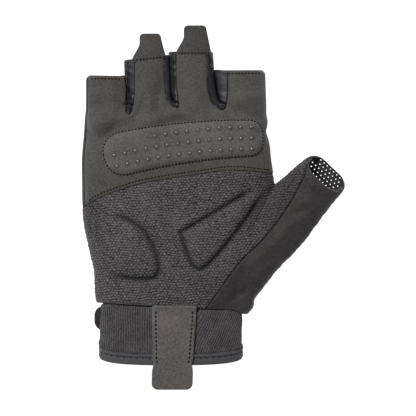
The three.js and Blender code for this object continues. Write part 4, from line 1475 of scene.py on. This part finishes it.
# %% [markdown]
# ## The cuff
#
# The cuff is a ribbed sleeve. Its ribs are real: the sleeve's outer face is drawn with enough
# points round it for each rib, evenly spaced along the rounded section. A folded band binds its
# lower edge, drawn as one closed profile that runs round the same section.


# %% Cuff band and binding
CUFF_MIDDLE = CUFF_BASE + CUFF_DEPTH / 2
CUFF_SECTION = make_section(
    (CUFF_SHIFT, 0, 0), (-CUFF_WIDTH / 2, CUFF_WIDTH / 2),
    (CUFF_BASE, CUFF_MIDDLE, CUFF_BASE + CUFF_DEPTH), PALM_SQUARENESS,
)


def even_turns(count):
    """Turns round the cuff's section that lie evenly along its length, and that length"""
    turns = -np.linspace(0, 2 * np.pi, 6001)
    p = ring(moved(CUFF_SECTION, -CUFF_LENGTH), turns=turns)[:, [0, 2]]
    run = np.concatenate([[0], np.cumsum(np.linalg.norm(np.diff(p, axis=0), axis=1))])
    return np.interp(np.arange(count) / count * run[-1], run, turns), run[-1]


def binding_lean(places):
    """How far the cuff's lower end runs on at its back, for each place round it"""
    return BINDING_LEAN * (CUFF_DEPTH / 2 - (places[:, 2] - CUFF_MIDDLE))


RIB_PITCH = 1.27
RIB_HEIGHT = 0.16
RIB_POINTS = 8
CUFF_ROWS = 36
CUFF_TUCK = 4
RIB_SLANT = 0.4
BULGE_PLACES = (-19.4, -21.6)


def cuff_band_mesh():
    girth = even_turns(8)[1]
    ribs = round(girth / RIB_PITCH)
    turns, girth = even_turns(ribs * RIB_POINTS)
    phase = np.arange(len(turns)) / RIB_POINTS * 2 * np.pi
    arc = np.arange(len(turns)) / len(turns) * girth
    out_of_cuff = ring(CUFF_SECTION, 1, turns=turns) - ring(CUFF_SECTION, turns=turns)
    layers, maps = [], []

    def layer(share, outset, rib):
        p = ring(CUFF_SECTION, outset, turns=turns)
        low_y = -CUFF_LENGTH + HALF_GAP + binding_lean(p)
        high_y = wrist_seam(p[:, 0]) - HALF_GAP
        y = low_y + (high_y - low_y) * share
        wave = 0.22 * np.sin(arc * 0.21 + y * 0.35) + 0.16 * np.sin(arc * 0.47 - y * 0.22 + 2)
        slant = RIB_SLANT * smoothstep(p[:, 0], 0, 16) * (y + CUFF_LENGTH)
        ribbed_by = phase - slant / RIB_PITCH * 2 * np.pi + 0.5 * np.sin(y * 0.5 + arc * 0.09)
        round_out = outset + rib * RIB_HEIGHT * np.cos(ribbed_by)
        round_out = round_out + wave * (1 if outset > -1 else 0.6)
        left = smoothstep(-p[:, 0], 34, 38) * hill(y - BULGE_PLACES[0], 2.1)
        right = smoothstep(p[:, 0], 31, 34) * hill(y - BULGE_PLACES[1], 1.1)
        round_out = round_out + 1.1 * left + 0.7 * right
        p = p + out_of_cuff * (round_out - outset)[:, None]
        p[:, 2] = np.maximum(p[:, 2], CUFF_BASE)
        p[:, 1] = y
        layers.append(p)
        maps.append(np.stack([arc - slant, y], 1))

    tucked = 1 + CUFF_TUCK / CUFF_LENGTH
    for share in [*np.linspace(0, 1, CUFF_ROWS), 1 + 0.3 * (tucked - 1), tucked]:
        tuck = 1.75 * smoothstep(share, 0.965, 1.03) + 0.3 * (1 - smoothstep(share, 0, 0.04))
        layer(share, -tuck, 0.5 * (1 - smoothstep(share, 0.96, 1.03)))
    for share in [tucked, *np.linspace(1, 0, 6)]:
        layer(share, -CUFF_WALL - (1.6 if share > 1 else 0), 0)
    return layers, maps


band_layers, band_maps = cuff_band_mesh()
ribbed_cuff = closed_loops("ribbed_cuff", band_layers)
write_map(ribbed_cuff, np.vstack(band_maps))

# The binding's profile: distance along the glove and how far it stands out
BINDING_PROFILE = [
    (0.1, -0.2), (0.25, 0.5), (0.8, 0.85), (1.5, 0.62), (1.95, 0.25), (2.5, 0.55), (3.6, 0.8),
    (4.8, 0.78), (5.6, 0.45), (6.0, -0.4), (6.05, -1.2), (5.6, -2.0), (4.0, -2.3), (1.4, -2.3),
    (0.4, -1.9), (0.1, -1.1),
]


def binding_places(drop, outset, turns):
    p = ring(CUFF_SECTION, outset, turns=turns)
    p[:, 1] = -CUFF_LENGTH - drop + binding_lean(p)
    p[:, 2] = np.maximum(p[:, 2], CUFF_BASE - max(0, outset) * 0.3)
    return p


profile = curve_through([*BINDING_PROFILE, BINDING_PROFILE[0]], 44)[:-1]
binding_turns, binding_girth = even_turns(520)
binding_layers = [binding_places(drop, outset, binding_turns) for drop, outset in profile]
cuff_edge = closed_loops("cuff_edge", binding_layers)
binding_arc = np.arange(520) / 520 * binding_girth
profile_run = np.cumsum(np.linalg.norm(np.diff(profile, axis=0, prepend=profile[:1]), axis=1))
write_map(cuff_edge, np.vstack([
    np.stack([binding_arc, np.full(520, run)], 1) for run in profile_run
]))
print("cuff:", len(ribbed_cuff.data.polygons), "binding:", len(cuff_edge.data.polygons), "faces")

# %% The wrist tab
STRAP_WIDTH = 21.6
STRAP_WIDENS = 1.7
STRAP_TAIL = 12.7
STRAP_THICKNESS = 1.6
STRAP_CORNER = 3.4
STRAP_DROOP = 2
STRAP_START = 0.6
STRAP_ACROSS = (-0.7, -2.0)

wrist_tree = ray_tree([ribbed_cuff, cuff_edge, palm_knit])


def strap_middle(y):
    share = (STRAP_START - y) / (STRAP_START + CUFF_LENGTH + BINDING_HEIGHT + STRAP_TAIL)
    return STRAP_ACROSS[0] + (STRAP_ACROSS[1] - STRAP_ACROSS[0]) * share


def strap_half(y):
    """Half the tab's width: wider where it is sewn on, with a slight waist at the binding"""
    waist = 0.6 * float(hill(y + CUFF_LENGTH + 5, 2.6))
    return (STRAP_WIDTH + STRAP_WIDENS * (1 - float(smoothstep(-y, 4, 25)))) / 2 - waist


def wrist_tab_mesh():
    end = -CUFF_LENGTH - BINDING_HEIGHT
    tip = end - STRAP_TAIL
    stops = np.concatenate([
        np.linspace(STRAP_START, tip + STRAP_CORNER, 56),
        tip + STRAP_CORNER * (1 - np.sin(np.linspace(0, np.pi / 2, 11)[1:])),
    ])
    rows = []
    for y in stops:
        half = strap_half(y) - round_end(y - tip, STRAP_CORNER)
        droop = STRAP_DROOP * float(smoothstep(-y, -end, -tip))
        row = []
        for v in shares_across(33):
            x = strap_middle(y) + v * half
            under = [height_on(wrist_tree, x + dx, max(y + dy, end + 1.2), 22)
                     for dx, dy in ((0, 0), (-0.7, 0.6), (0.7, -0.6), (0, 1.4), (0, -1.4))]
            ripple = 0.12 * math.sin(0.4 * y + 2.1 * v)
            row.append((x, y, max(under) + 0.15 + ripple - droop))
        rows.append(row)
    heights = np.array([[p[2] for p in row] for row in rows])
    for _ in range(3):
        heights[1:-1] = (heights[:-2] + 2 * heights[1:-1] + heights[2:]) / 4 + 0.02
    rows = [[(p[0], p[1], h) for p, h in zip(row, hs)] for row, hs in zip(rows, heights)]
    return flap("wrist_tab", rows, STRAP_THICKNESS, 0.6)


wrist_tab = wrist_tab_mesh()
print("wrist tab:", len(wrist_tab.data.polygons), "faces")

# %% [markdown]
# ## The closure strap
#
# A strap crosses the back of the wrist, and only its round end peeps out at the side. It starts
# as a plane: its end corners are rounded by a vertex bevel, it is extruded to its thickness, and
# its upper and lower edges are bevelled.


# %% Closure strap
def closure_mesh():
    bpy.ops.object.select_all(action="DESELECT")
    bpy.ops.mesh.primitive_plane_add(size=1)
    piece = bpy.context.object
    piece.name = "closure_tape"
    left = ORIGIN[0] + STRAP_LEFT * MM
    middle = Vector((left + CLOSURE_LENGTH * MM / 2, ORIGIN[1] - CLOSURE_DROP * MM, 0.0))
    bpy.ops.object.mode_set(mode="EDIT")
    bpy.ops.mesh.select_all(action="SELECT")
    bpy.ops.transform.resize(value=(CLOSURE_LENGTH * MM, CLOSURE_WIDTH * MM, 1))
    bpy.ops.transform.translate(value=middle)
    bpy.ops.mesh.bevel(
        offset=CLOSURE_CORNER * MM, segments=8, affect="VERTICES", profile=0.5,
    )
    bpy.ops.mesh.select_all(action="SELECT")
    bpy.ops.mesh.extrude_region_move(
        TRANSFORM_OT_translate={"value": (0, 0, CLOSURE_THICKNESS * MM)}
    )
    bpy.ops.mesh.select_all(action="SELECT")
    bpy.ops.mesh.normals_make_consistent(inside=False)
    bpy.ops.object.mode_set(mode="OBJECT")
    apply_modifier(
        piece, "BEVEL", width=0.45 * MM, segments=3, limit_method="ANGLE",
        angle_limit=math.radians(50),
    )
    return piece


closure_tape = closure_mesh()
print("closure strap:", len(closure_tape.data.polygons), "faces")

# %% [markdown]
# ## Stitches
#
# A stitch is a short dark thread that dips into the cloth. One small capsule is modelled from a
# sphere, and copies of it follow each seam line, half sunk in the surface.


# %% Stitch rows
def stitch_model(length, width):
    """A small capsule: a sphere drawn out along its length"""
    places, faces = template(
        lambda: bpy.ops.mesh.primitive_uv_sphere_add(segments=8, ring_count=5, radius=0.5),
        lambda: None,
        (width, width, width),
    )
    places[:, 0] += np.sign(places[:, 0]) * (length - width) / 2
    return places, faces


def along_path(path, spacing):
    """Evenly spaced places on a path, with the heading at each"""
    path = np.array(path, float)
    steps = np.linalg.norm(np.diff(path, axis=0), axis=1)
    run = np.concatenate([[0], np.cumsum(steps)])
    stops = np.arange(spacing / 2, run[-1], spacing)
    places, nexts = (
        np.column_stack([np.interp(stops + ahead, run, values) for values in path.T])
        for ahead in (0, 0.1)
    )
    return places, nexts - places


def stitch_on(name, path, spacing=1.75, length=1.3, width=0.8, sink=0.0):
    """Stitches on the glove's upper side, along a path seen from above"""
    places, headings = along_path(path, spacing)
    unit = units(headings)
    heights, ahead = (
        np.array([height_on(top_tree, *place, 15) for place in line])
        for line in (places, places + unit * STITCH_REACH)
    )
    turned = np.column_stack([unit * STITCH_REACH, np.clip(ahead - heights, -0.3, 0.3)])
    centres = np.column_stack([places, heights - sink])
    return copies(name, stitch_model(length, width), centres, turned)


def hem_path(finger_name, drop, inset):
    section = finger_section(FINGERS[finger_name], 1)
    start = section["centre"] - FORWARD * (section["lean"] * section["top"] / 2 + drop)
    sides = np.linspace(section["low"] + inset, section["high"] - inset, 30)
    return (start + sides[:, None] * section["across"])[:, :2]


STITCH_REACH = 0.4
top_tree = ray_tree([palm_suede, grip_strip, *tabs, wrist_tab])
pad_path = np.vstack([stitch_path, stitch_path[:1]])
seam_path = mid_seam[(mid_seam[:, 0] > -46) & (mid_seam[:, 0] < 49.5)] + (0, 1.7)
stitched = {
    stitch_on("grip_stitches", pad_path, length=1.35, width=0.92, sink=-0.05): "grip_pad",
    stitch_on("seam_stitches", seam_path): "suede",
}
for finger_name, row, drop, inset in [
    ("pinky", "pinky", 1.7, 2.6),
    ("index", "index", 1.7, 2.2),
    ("ring", "ring_tab", 0.4, 2.2),
    ("middle", "middle_tab", 0.4, 2.2),
]:
    stitched[stitch_on(f"{row}_stitches", hem_path(finger_name, drop, inset))] = "suede"
for side in (-1, 1):
    path = [
        (strap_middle(y) + side * (strap_half(y) - 2), y)
        for y in np.linspace(-2, -CUFF_LENGTH - 5.2, 20)
    ]
    piece = stitch_on(f"wrist_tab_stitches_{(side + 3) // 2}", path, 2.15, 1.45, 0.95)
    stitched[piece] = "tab_suede"

BINDING_STITCH = 3.3
stitch_turns = even_turns(int(binding_girth / BINDING_STITCH))[0]
here = binding_places(1.95, 0.32, stitch_turns)
there = binding_places(2.15, 0.32, stitch_turns - 0.004)
outward = binding_places(1.95, 1.3, stitch_turns) - here
piece = copies("binding_stitches", stitch_model(1.8, 0.6), here, there - here, outward)
stitched[piece] = "binding"
print("stitch rows:", [piece.name for piece in stitched])

# %% [markdown]
# ## Writing materials
#
# A material is a small network of nodes. Two helpers keep it readable: a Value wraps a node's
# output, so that sums are plain expressions, and a Look adds any other node by its type, its
# settings and what its sockets take.


# %% Helpers for materials
class Value:
    """A number or colour that a node gives, with Python's operators adding Math nodes"""

    def __init__(self, look, socket):
        self.look, self.socket = look, socket

    def math(self, operation, *values):
        return self.look.node("Math", {"operation": operation}, dict(enumerate(values)))

    def __add__(self, other):
        return self.math("ADD", self, other)

    def __mul__(self, other):
        return self.math("MULTIPLY", self, other)

    def __sub__(self, other):
        return self.math("SUBTRACT", self, other)

    def __rsub__(self, other):
        return self.math("SUBTRACT", other, self)

    __radd__, __rmul__ = __add__, __mul__

    def wave(self, length, ahead=0):
        """A cosine that repeats at a length, moved ahead by some radians"""
        turns = self * (2 * math.pi / length)
        return self.math("COSINE", turns + ahead if ahead else turns)

    def clamped(self):
        return self.look.node("Clamp", {}, {0: self, 1: 0, 2: 1})


class Look:
    """A material being written, from its shader backwards"""

    def __init__(self, name, **constants):
        self.material = bpy.data.materials.new(name)
        self.material.use_nodes = True
        self.tree = self.material.node_tree
        self.shader = self.tree.nodes["Principled BSDF"]
        self.place = Value(self, self.tree.nodes.new("ShaderNodeTexCoord").outputs["Object"])
        for key, value in constants.items():
            self.shader.inputs[key.replace("_", " ")].default_value = value

    def node(self, kind, settings, inputs, output=0):
        made = self.tree.nodes.new("ShaderNode" + kind)
        for key, value in settings.items():
            setattr(made, key, value)
        for key, value in inputs.items():
            self.feed(made.inputs[key], value)
        return Value(self, made.outputs[output])

    def feed(self, socket, value):
        if isinstance(value, Value):
            self.tree.links.new(value.socket, socket)
        else:
            socket.default_value = value

    def noise(self, size, detail=2.0, roughness=0.55):
        """Noise whose patches are about as wide as size, in metres"""
        return self.node("TexNoise", {}, {
            "Vector": self.place, "Scale": 0.6 / size, "Detail": detail, "Roughness": roughness,
        })

    def cloth_place(self):
        """Places along the cloth in millimetres, from the UV layer"""
        uv = self.node("UVMap", {"uv_map": "cloth"}, {})
        return [self.node("SeparateXYZ", {}, {0: uv}, output=i) * MAP_UNIT for i in (0, 1)]

    def shaded(self, value):
        """A value times the light that the mesh stores for each point"""
        return value * self.node("Attribute", {"attribute_name": "shade"}, {}, output=2)

    def finish(self, share, dark, light, rough, height, distance, strength):
        """A colour between dark and light, a roughness and a bump; gives back the material"""
        mixed = self.node("Mix", {"data_type": "RGBA"}, {"Factor": share, 6: dark, 7: light}, 2)
        bump = self.node("Bump", {}, {"Height": height, "Distance": distance, "Strength": strength})
        for name, value in (("Base Color", mixed), ("Roughness", rough), ("Normal", bump)):
            self.feed(self.shader.inputs[name], value)
        return self.material


def tone(red, green, blue, level=1.0):
    """A dye's colour, from screen values, as the linear colour that nodes take"""
    shares = [c * level / 255 for c in (red, green, blue)]
    return (*(c / 12.92 if c <= 0.04045 else ((c + 0.055) / 1.055) ** 2.4 for c in shares), 1)


# %% Suede, knit and the other finishes
PURL_PITCH = 0.9
PURL_SLANT = 2.4
WEAVE_PITCH = 0.7


def suede_look(name, *colour, shaded=False):
    look = Look(name, Sheen_Weight=0.2, Sheen_Roughness=0.5, Specular_IOR_Level=0.2)
    nap, patches, broad = look.noise(0.00055, 3, 0.75), look.noise(0.005, 3), look.noise(0.025)
    shade = nap * 0.66 + patches * 0.12 + broad * 0.22
    spread = ((shade - 0.5) * 3 + 0.5).clamped()
    spread = look.shaded(spread) if shaded else spread
    return look.finish(
        spread, tone(*colour, 0.7), tone(*colour, 1.24), 0.96 - nap * 0.12,
        nap + patches * 0.6, 0.00025, 0.8,
    )


def knit_look():
    look = Look("spacer_knit", Sheen_Weight=0.1, Sheen_Roughness=0.6, Specular_IOR_Level=0.2)
    u, v = look.cloth_place()
    height = u.wave(KNIT_PITCH) * v.wave(2 * KNIT_ROW) * 0.27 + v.wave(KNIT_ROW) * 0.23 + 0.5
    fibre = look.noise(0.0009, 3, 0.7)
    # The colour is darker in the knit's pits and lighter on its bumps, painted shade that follows
    # their height; the fibre noise is the yarn's own tone, and the stored painted shade darkens it
    # further
    shade = (height * 1.1 + fibre * 1.5 + look.noise(0.006, 3) * 0.5 - 1.08).clamped()
    return look.finish(
        look.shaded(shade), tone(20, 19, 20), tone(106, 102, 103), 0.95 - fibre * 0.1,
        height * 0.7 + fibre * 0.5, 0.0004, 0.9,
    )


def smooth_look(name, *colour):
    look = Look(name, Sheen_Weight=0.1, Sheen_Roughness=0.5, Specular_IOR_Level=0.25)
    grain, patches = look.noise(0.0009, 3, 0.65), look.noise(0.006, 3)
    shade = ((grain * 0.55 + patches * 0.45 - 0.5) * 3.2 + 0.5).clamped()
    return look.finish(
        shade, tone(*colour, 0.76), tone(*colour, 1.22), 0.85 - grain * 0.15,
        grain + patches, 0.0003, 0.7,
    )


def stretch_look(name, dark, light, specular, coat, gain=0):
    """Stretch cloth, with a gain on the painted shade that the mesh stores"""
    look = Look(name, Specular_IOR_Level=specular, Coat_Weight=coat, Coat_Roughness=0.4)
    fine, gathers = look.noise(0.0006), look.noise(0.0035)
    shade = (fine * 0.5 + gathers * 0.5).clamped()
    shade = look.shaded(shade * gain) if gain else shade
    return look.finish(
        shade, tone(*dark), tone(*light), 0.42 + fine * 0.16, fine * 0.15 + gathers, 0.0009, 0.6
    )


def ribbed_look():
    look = Look("ribbed_knit", Sheen_Weight=0.1, Specular_IOR_Level=0.2)
    u, v = look.cloth_place()
    ribs = u.wave(RIB_PITCH) * 0.5 + 0.5
    purls = v.wave(PURL_PITCH, u * PURL_SLANT) * 0.5 + 0.5
    fibre = look.noise(0.0007, 3, 0.7)
    # The rib tops and purls are lighter and the hollows between them darker, painted light and shade
    # that follow the ribs; the fibre and patch noise are the yarn's own tone
    shade = ribs * 0.5 + purls * 0.5 + fibre * 1.5 + look.noise(0.005, 3) * 0.6 - 1.06
    return look.finish(
        shade.clamped(), tone(36, 35, 36), tone(93, 90, 91), 0.95 - fibre * 0.1,
        ribs * 0.5 + purls * 0.3 + fibre * 0.5, 0.0003, 0.8,
    )


def binding_look():
    look = Look("binding_tape", Sheen_Weight=0.1, Specular_IOR_Level=0.35)
    u, v = look.cloth_place()
    weave, fibre = u.wave(WEAVE_PITCH) * v.wave(WEAVE_PITCH), look.noise(0.0006, 3)
    return look.finish(
        (weave * 0.2 + fibre * 0.7 + 0.15).clamped(), tone(52, 51, 54), tone(82, 81, 84),
        0.8 - fibre * 0.1, weave * 0.4 + fibre * 0.5, 0.0002, 0.7,
    )


def plain_look(name, colour, roughness, **constants):
    look = Look(name, **constants)
    grain = look.noise(0.0004)
    light = (*(min(1, c * 1.3) for c in colour[:3]), 1)
    return look.finish(grain, colour, light, roughness + grain * 0.1, grain, 0.0001, 0.5)


suede = suede_look("suede", 75, 71, 67)
pad_suede = suede_look("pad_suede", 87, 83, 79, shaded=True)
tab_suede = suede_look("tab_suede", 96, 91, 88)
finger_tab_suede = suede_look("finger_tab_suede", 69, 65, 62)
knit = knit_look()
smooth_cloth = smooth_look("smooth_cloth", 54, 51, 51)
mesh_cloth = smooth_look("mesh_cloth", 42, 41, 42)
stretch = stretch_look("stretch_cloth", (18, 18, 23), (44, 44, 52), 0.12, 0)
gusset_stretch = stretch_look("gusset_cloth", (9, 9, 12), (45, 45, 53), 0.36, 0.05, gain=1.7)
ribbed = ribbed_look()
bound = binding_look()
silicone = plain_look("silicone", tone(80, 77, 74), 0.26, Coat_Weight=0.3, Coat_Roughness=0.15)
dark_thread = plain_look("thread", tone(25, 24, 23), 0.7, Specular_IOR_Level=0.2)

# %% [markdown]
# ## Dress the frame
#
# Every new piece gets its material and smooth shading, rides on the glove's one body, and hides
# the nodes of the frame that it stands for. A table lists how large the cloths were cut before
# sewing, and each cut area is printed beside the area that the piece has now.


# %% Finish the pieces
SMOOTH_ANGLE = math.radians(65)


def dress(piece, material, slot, *nodes):
    piece.data.materials.clear()
    piece.data.materials.append(material)
    for face in piece.data.polygons:
        face.material_index = 0
    only(piece)
    bpy.ops.object.shade_smooth_by_angle(angle=SMOOTH_ANGLE)
    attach(piece, "root")
    if nodes:
        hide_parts(*nodes)


for piece, material, slot, *nodes in [
    (palm_suede, suede, "suede", "palm_suede_panel"),
    (palm_knit, knit, "knit", "palm_knit_panel", "heel_pad", "thumb_base_pad"),
    (thumb_cloth, smooth_cloth, "smooth_cloth", "thumb_panel"),
    (thumb_mesh, mesh_cloth, "mesh", "thumb_mesh_back"),
    (gussets[0], gusset_stretch, "stretch", "gusset_pinky_ring"),
    (gussets[1], gusset_stretch, "stretch", "gusset_ring_middle"),
    (gussets[2], gusset_stretch, "stretch", "gusset_middle_index"),
    (back_cloth, stretch, "stretch", "back_panel"),
    (grip_strip, pad_suede, "grip_pad", "grip_pad"),
    (silicone_dots, silicone, "grip_pad"),
    (tabs[0], finger_tab_suede, "suede", "ring_pull_tab"),
    (tabs[1], finger_tab_suede, "suede", "middle_pull_tab"),
    (ribbed_cuff, ribbed, "ribbed", "cuff_band"),
    (cuff_edge, bound, "binding", "cuff_binding"),
    (wrist_tab, tab_suede, "tab_suede", "wrist_pull_tab"),
    (closure_tape, mesh_cloth, "smooth_cloth", "closure_strap"),
    *((piece, dark_thread, slot) for piece, slot in stitched.items()),
]:
    dress(piece, material, slot, *nodes)
remove_piece(form)

# The cut of each cloth before sewing: width, length and area, in metres
CUTS = {
    palm_suede: (0.112, 0.088, 0.0064, "stretched"),
    palm_knit: (0.112, 0.098, 0.0072, "stretched"),
    thumb_cloth: (0.112, 0.042, 0.0023, "stretched"),
    thumb_mesh: (0.072, 0.046, 0.0020, "stretched"),
    gussets[0]: (0.030, 0.038, 0.0006, "gathered"),
    gussets[1]: (0.032, 0.042, 0.0008, "gathered"),
    gussets[2]: (0.036, 0.040, 0.0008, "gathered"),
    back_cloth: (0.170, 0.145, 0.0145, "stretched"),
    ribbed_cuff: (0.176, 0.024, 0.0036, "stretched"),
    cuff_edge: (0.178, 0.013, 0.0014, "folded"),
    wrist_tab: (0.0215, 0.046, 0.00096, "laid"),
    tabs[0]: (0.021, 0.016, 0.00030, "laid"),
    tabs[1]: (0.021, 0.017, 0.00032, "laid"),
    closure_tape: (0.013, 0.062, 0.0008, "laid"),
}
for piece, (width, length, area, held) in CUTS.items():
    made = sum(face.area for face in piece.data.polygons) / 2
    print(piece.name, "cut", area, "made", round(made, 5), "m2")

# %% [markdown]
# ## Light, floor and camera
#
# The photograph is a plain studio shot from straight above on a white sweep. A wide soft lamp
# comes from the upper left, a weaker one from the right, and the floor glows a little, as a
# lit sweep does, so that the holes in the thumb's back show bright.

# %% Stage
VIEW_WIDTH = 0.2205
VIEW_MIDDLE = (-0.0033, -0.00006)
CAMERA_HEIGHT = 3.0
SENSOR = 36


def add_lamp(name, place, size, power_watts):
    lamp = bpy.data.lights.new(name, "AREA")
    lamp.size, lamp.energy = size, power_watts
    holder = bpy.data.objects.new(name, lamp)
    holder.location = place
    holder.rotation_euler = (-Vector(place)).to_track_quat("-Z", "Y").to_euler()
    bpy.context.collection.objects.link(holder)


def add_stage():
    bpy.ops.object.select_all(action="DESELECT")
    bpy.ops.mesh.primitive_plane_add(size=4, location=(0, 0, -0.0002))
    floor = bpy.context.object
    floor.name = "floor"
    look = Look("sweep", Roughness=0.9, Emission_Strength=1.0)
    look.shader.inputs["Base Color"].default_value = (0.4, 0.4, 0.4, 1)
    look.shader.inputs["Emission Color"].default_value = (1, 1, 1, 1)
    floor.data.materials.append(look.material)
    world = bpy.data.worlds.new("studio")
    bpy.context.scene.world = world
    world.use_nodes = True
    world.node_tree.nodes["Background"].inputs["Color"].default_value = (1, 1, 1, 1)
    world.node_tree.nodes["Background"].inputs["Strength"].default_value = 0.2
    add_lamp("key", (-0.5, 0.62, 1.05), 0.35, 15)
    add_lamp("fill", (0.5, -0.2, 1.3), 0.9, 1.5)


def add_camera():
    lens = bpy.data.cameras.new("camera")
    lens.sensor_width = SENSOR
    lens.lens = SENSOR * CAMERA_HEIGHT / VIEW_WIDTH
    lens.clip_end = 20
    holder = bpy.data.objects.new("camera", lens)
    holder.location = (*VIEW_MIDDLE, CAMERA_HEIGHT)
    bpy.context.collection.objects.link(holder)
    bpy.context.scene.camera = holder


add_stage()
add_camera()
bpy.context.scene.view_settings.view_transform = "Standard"
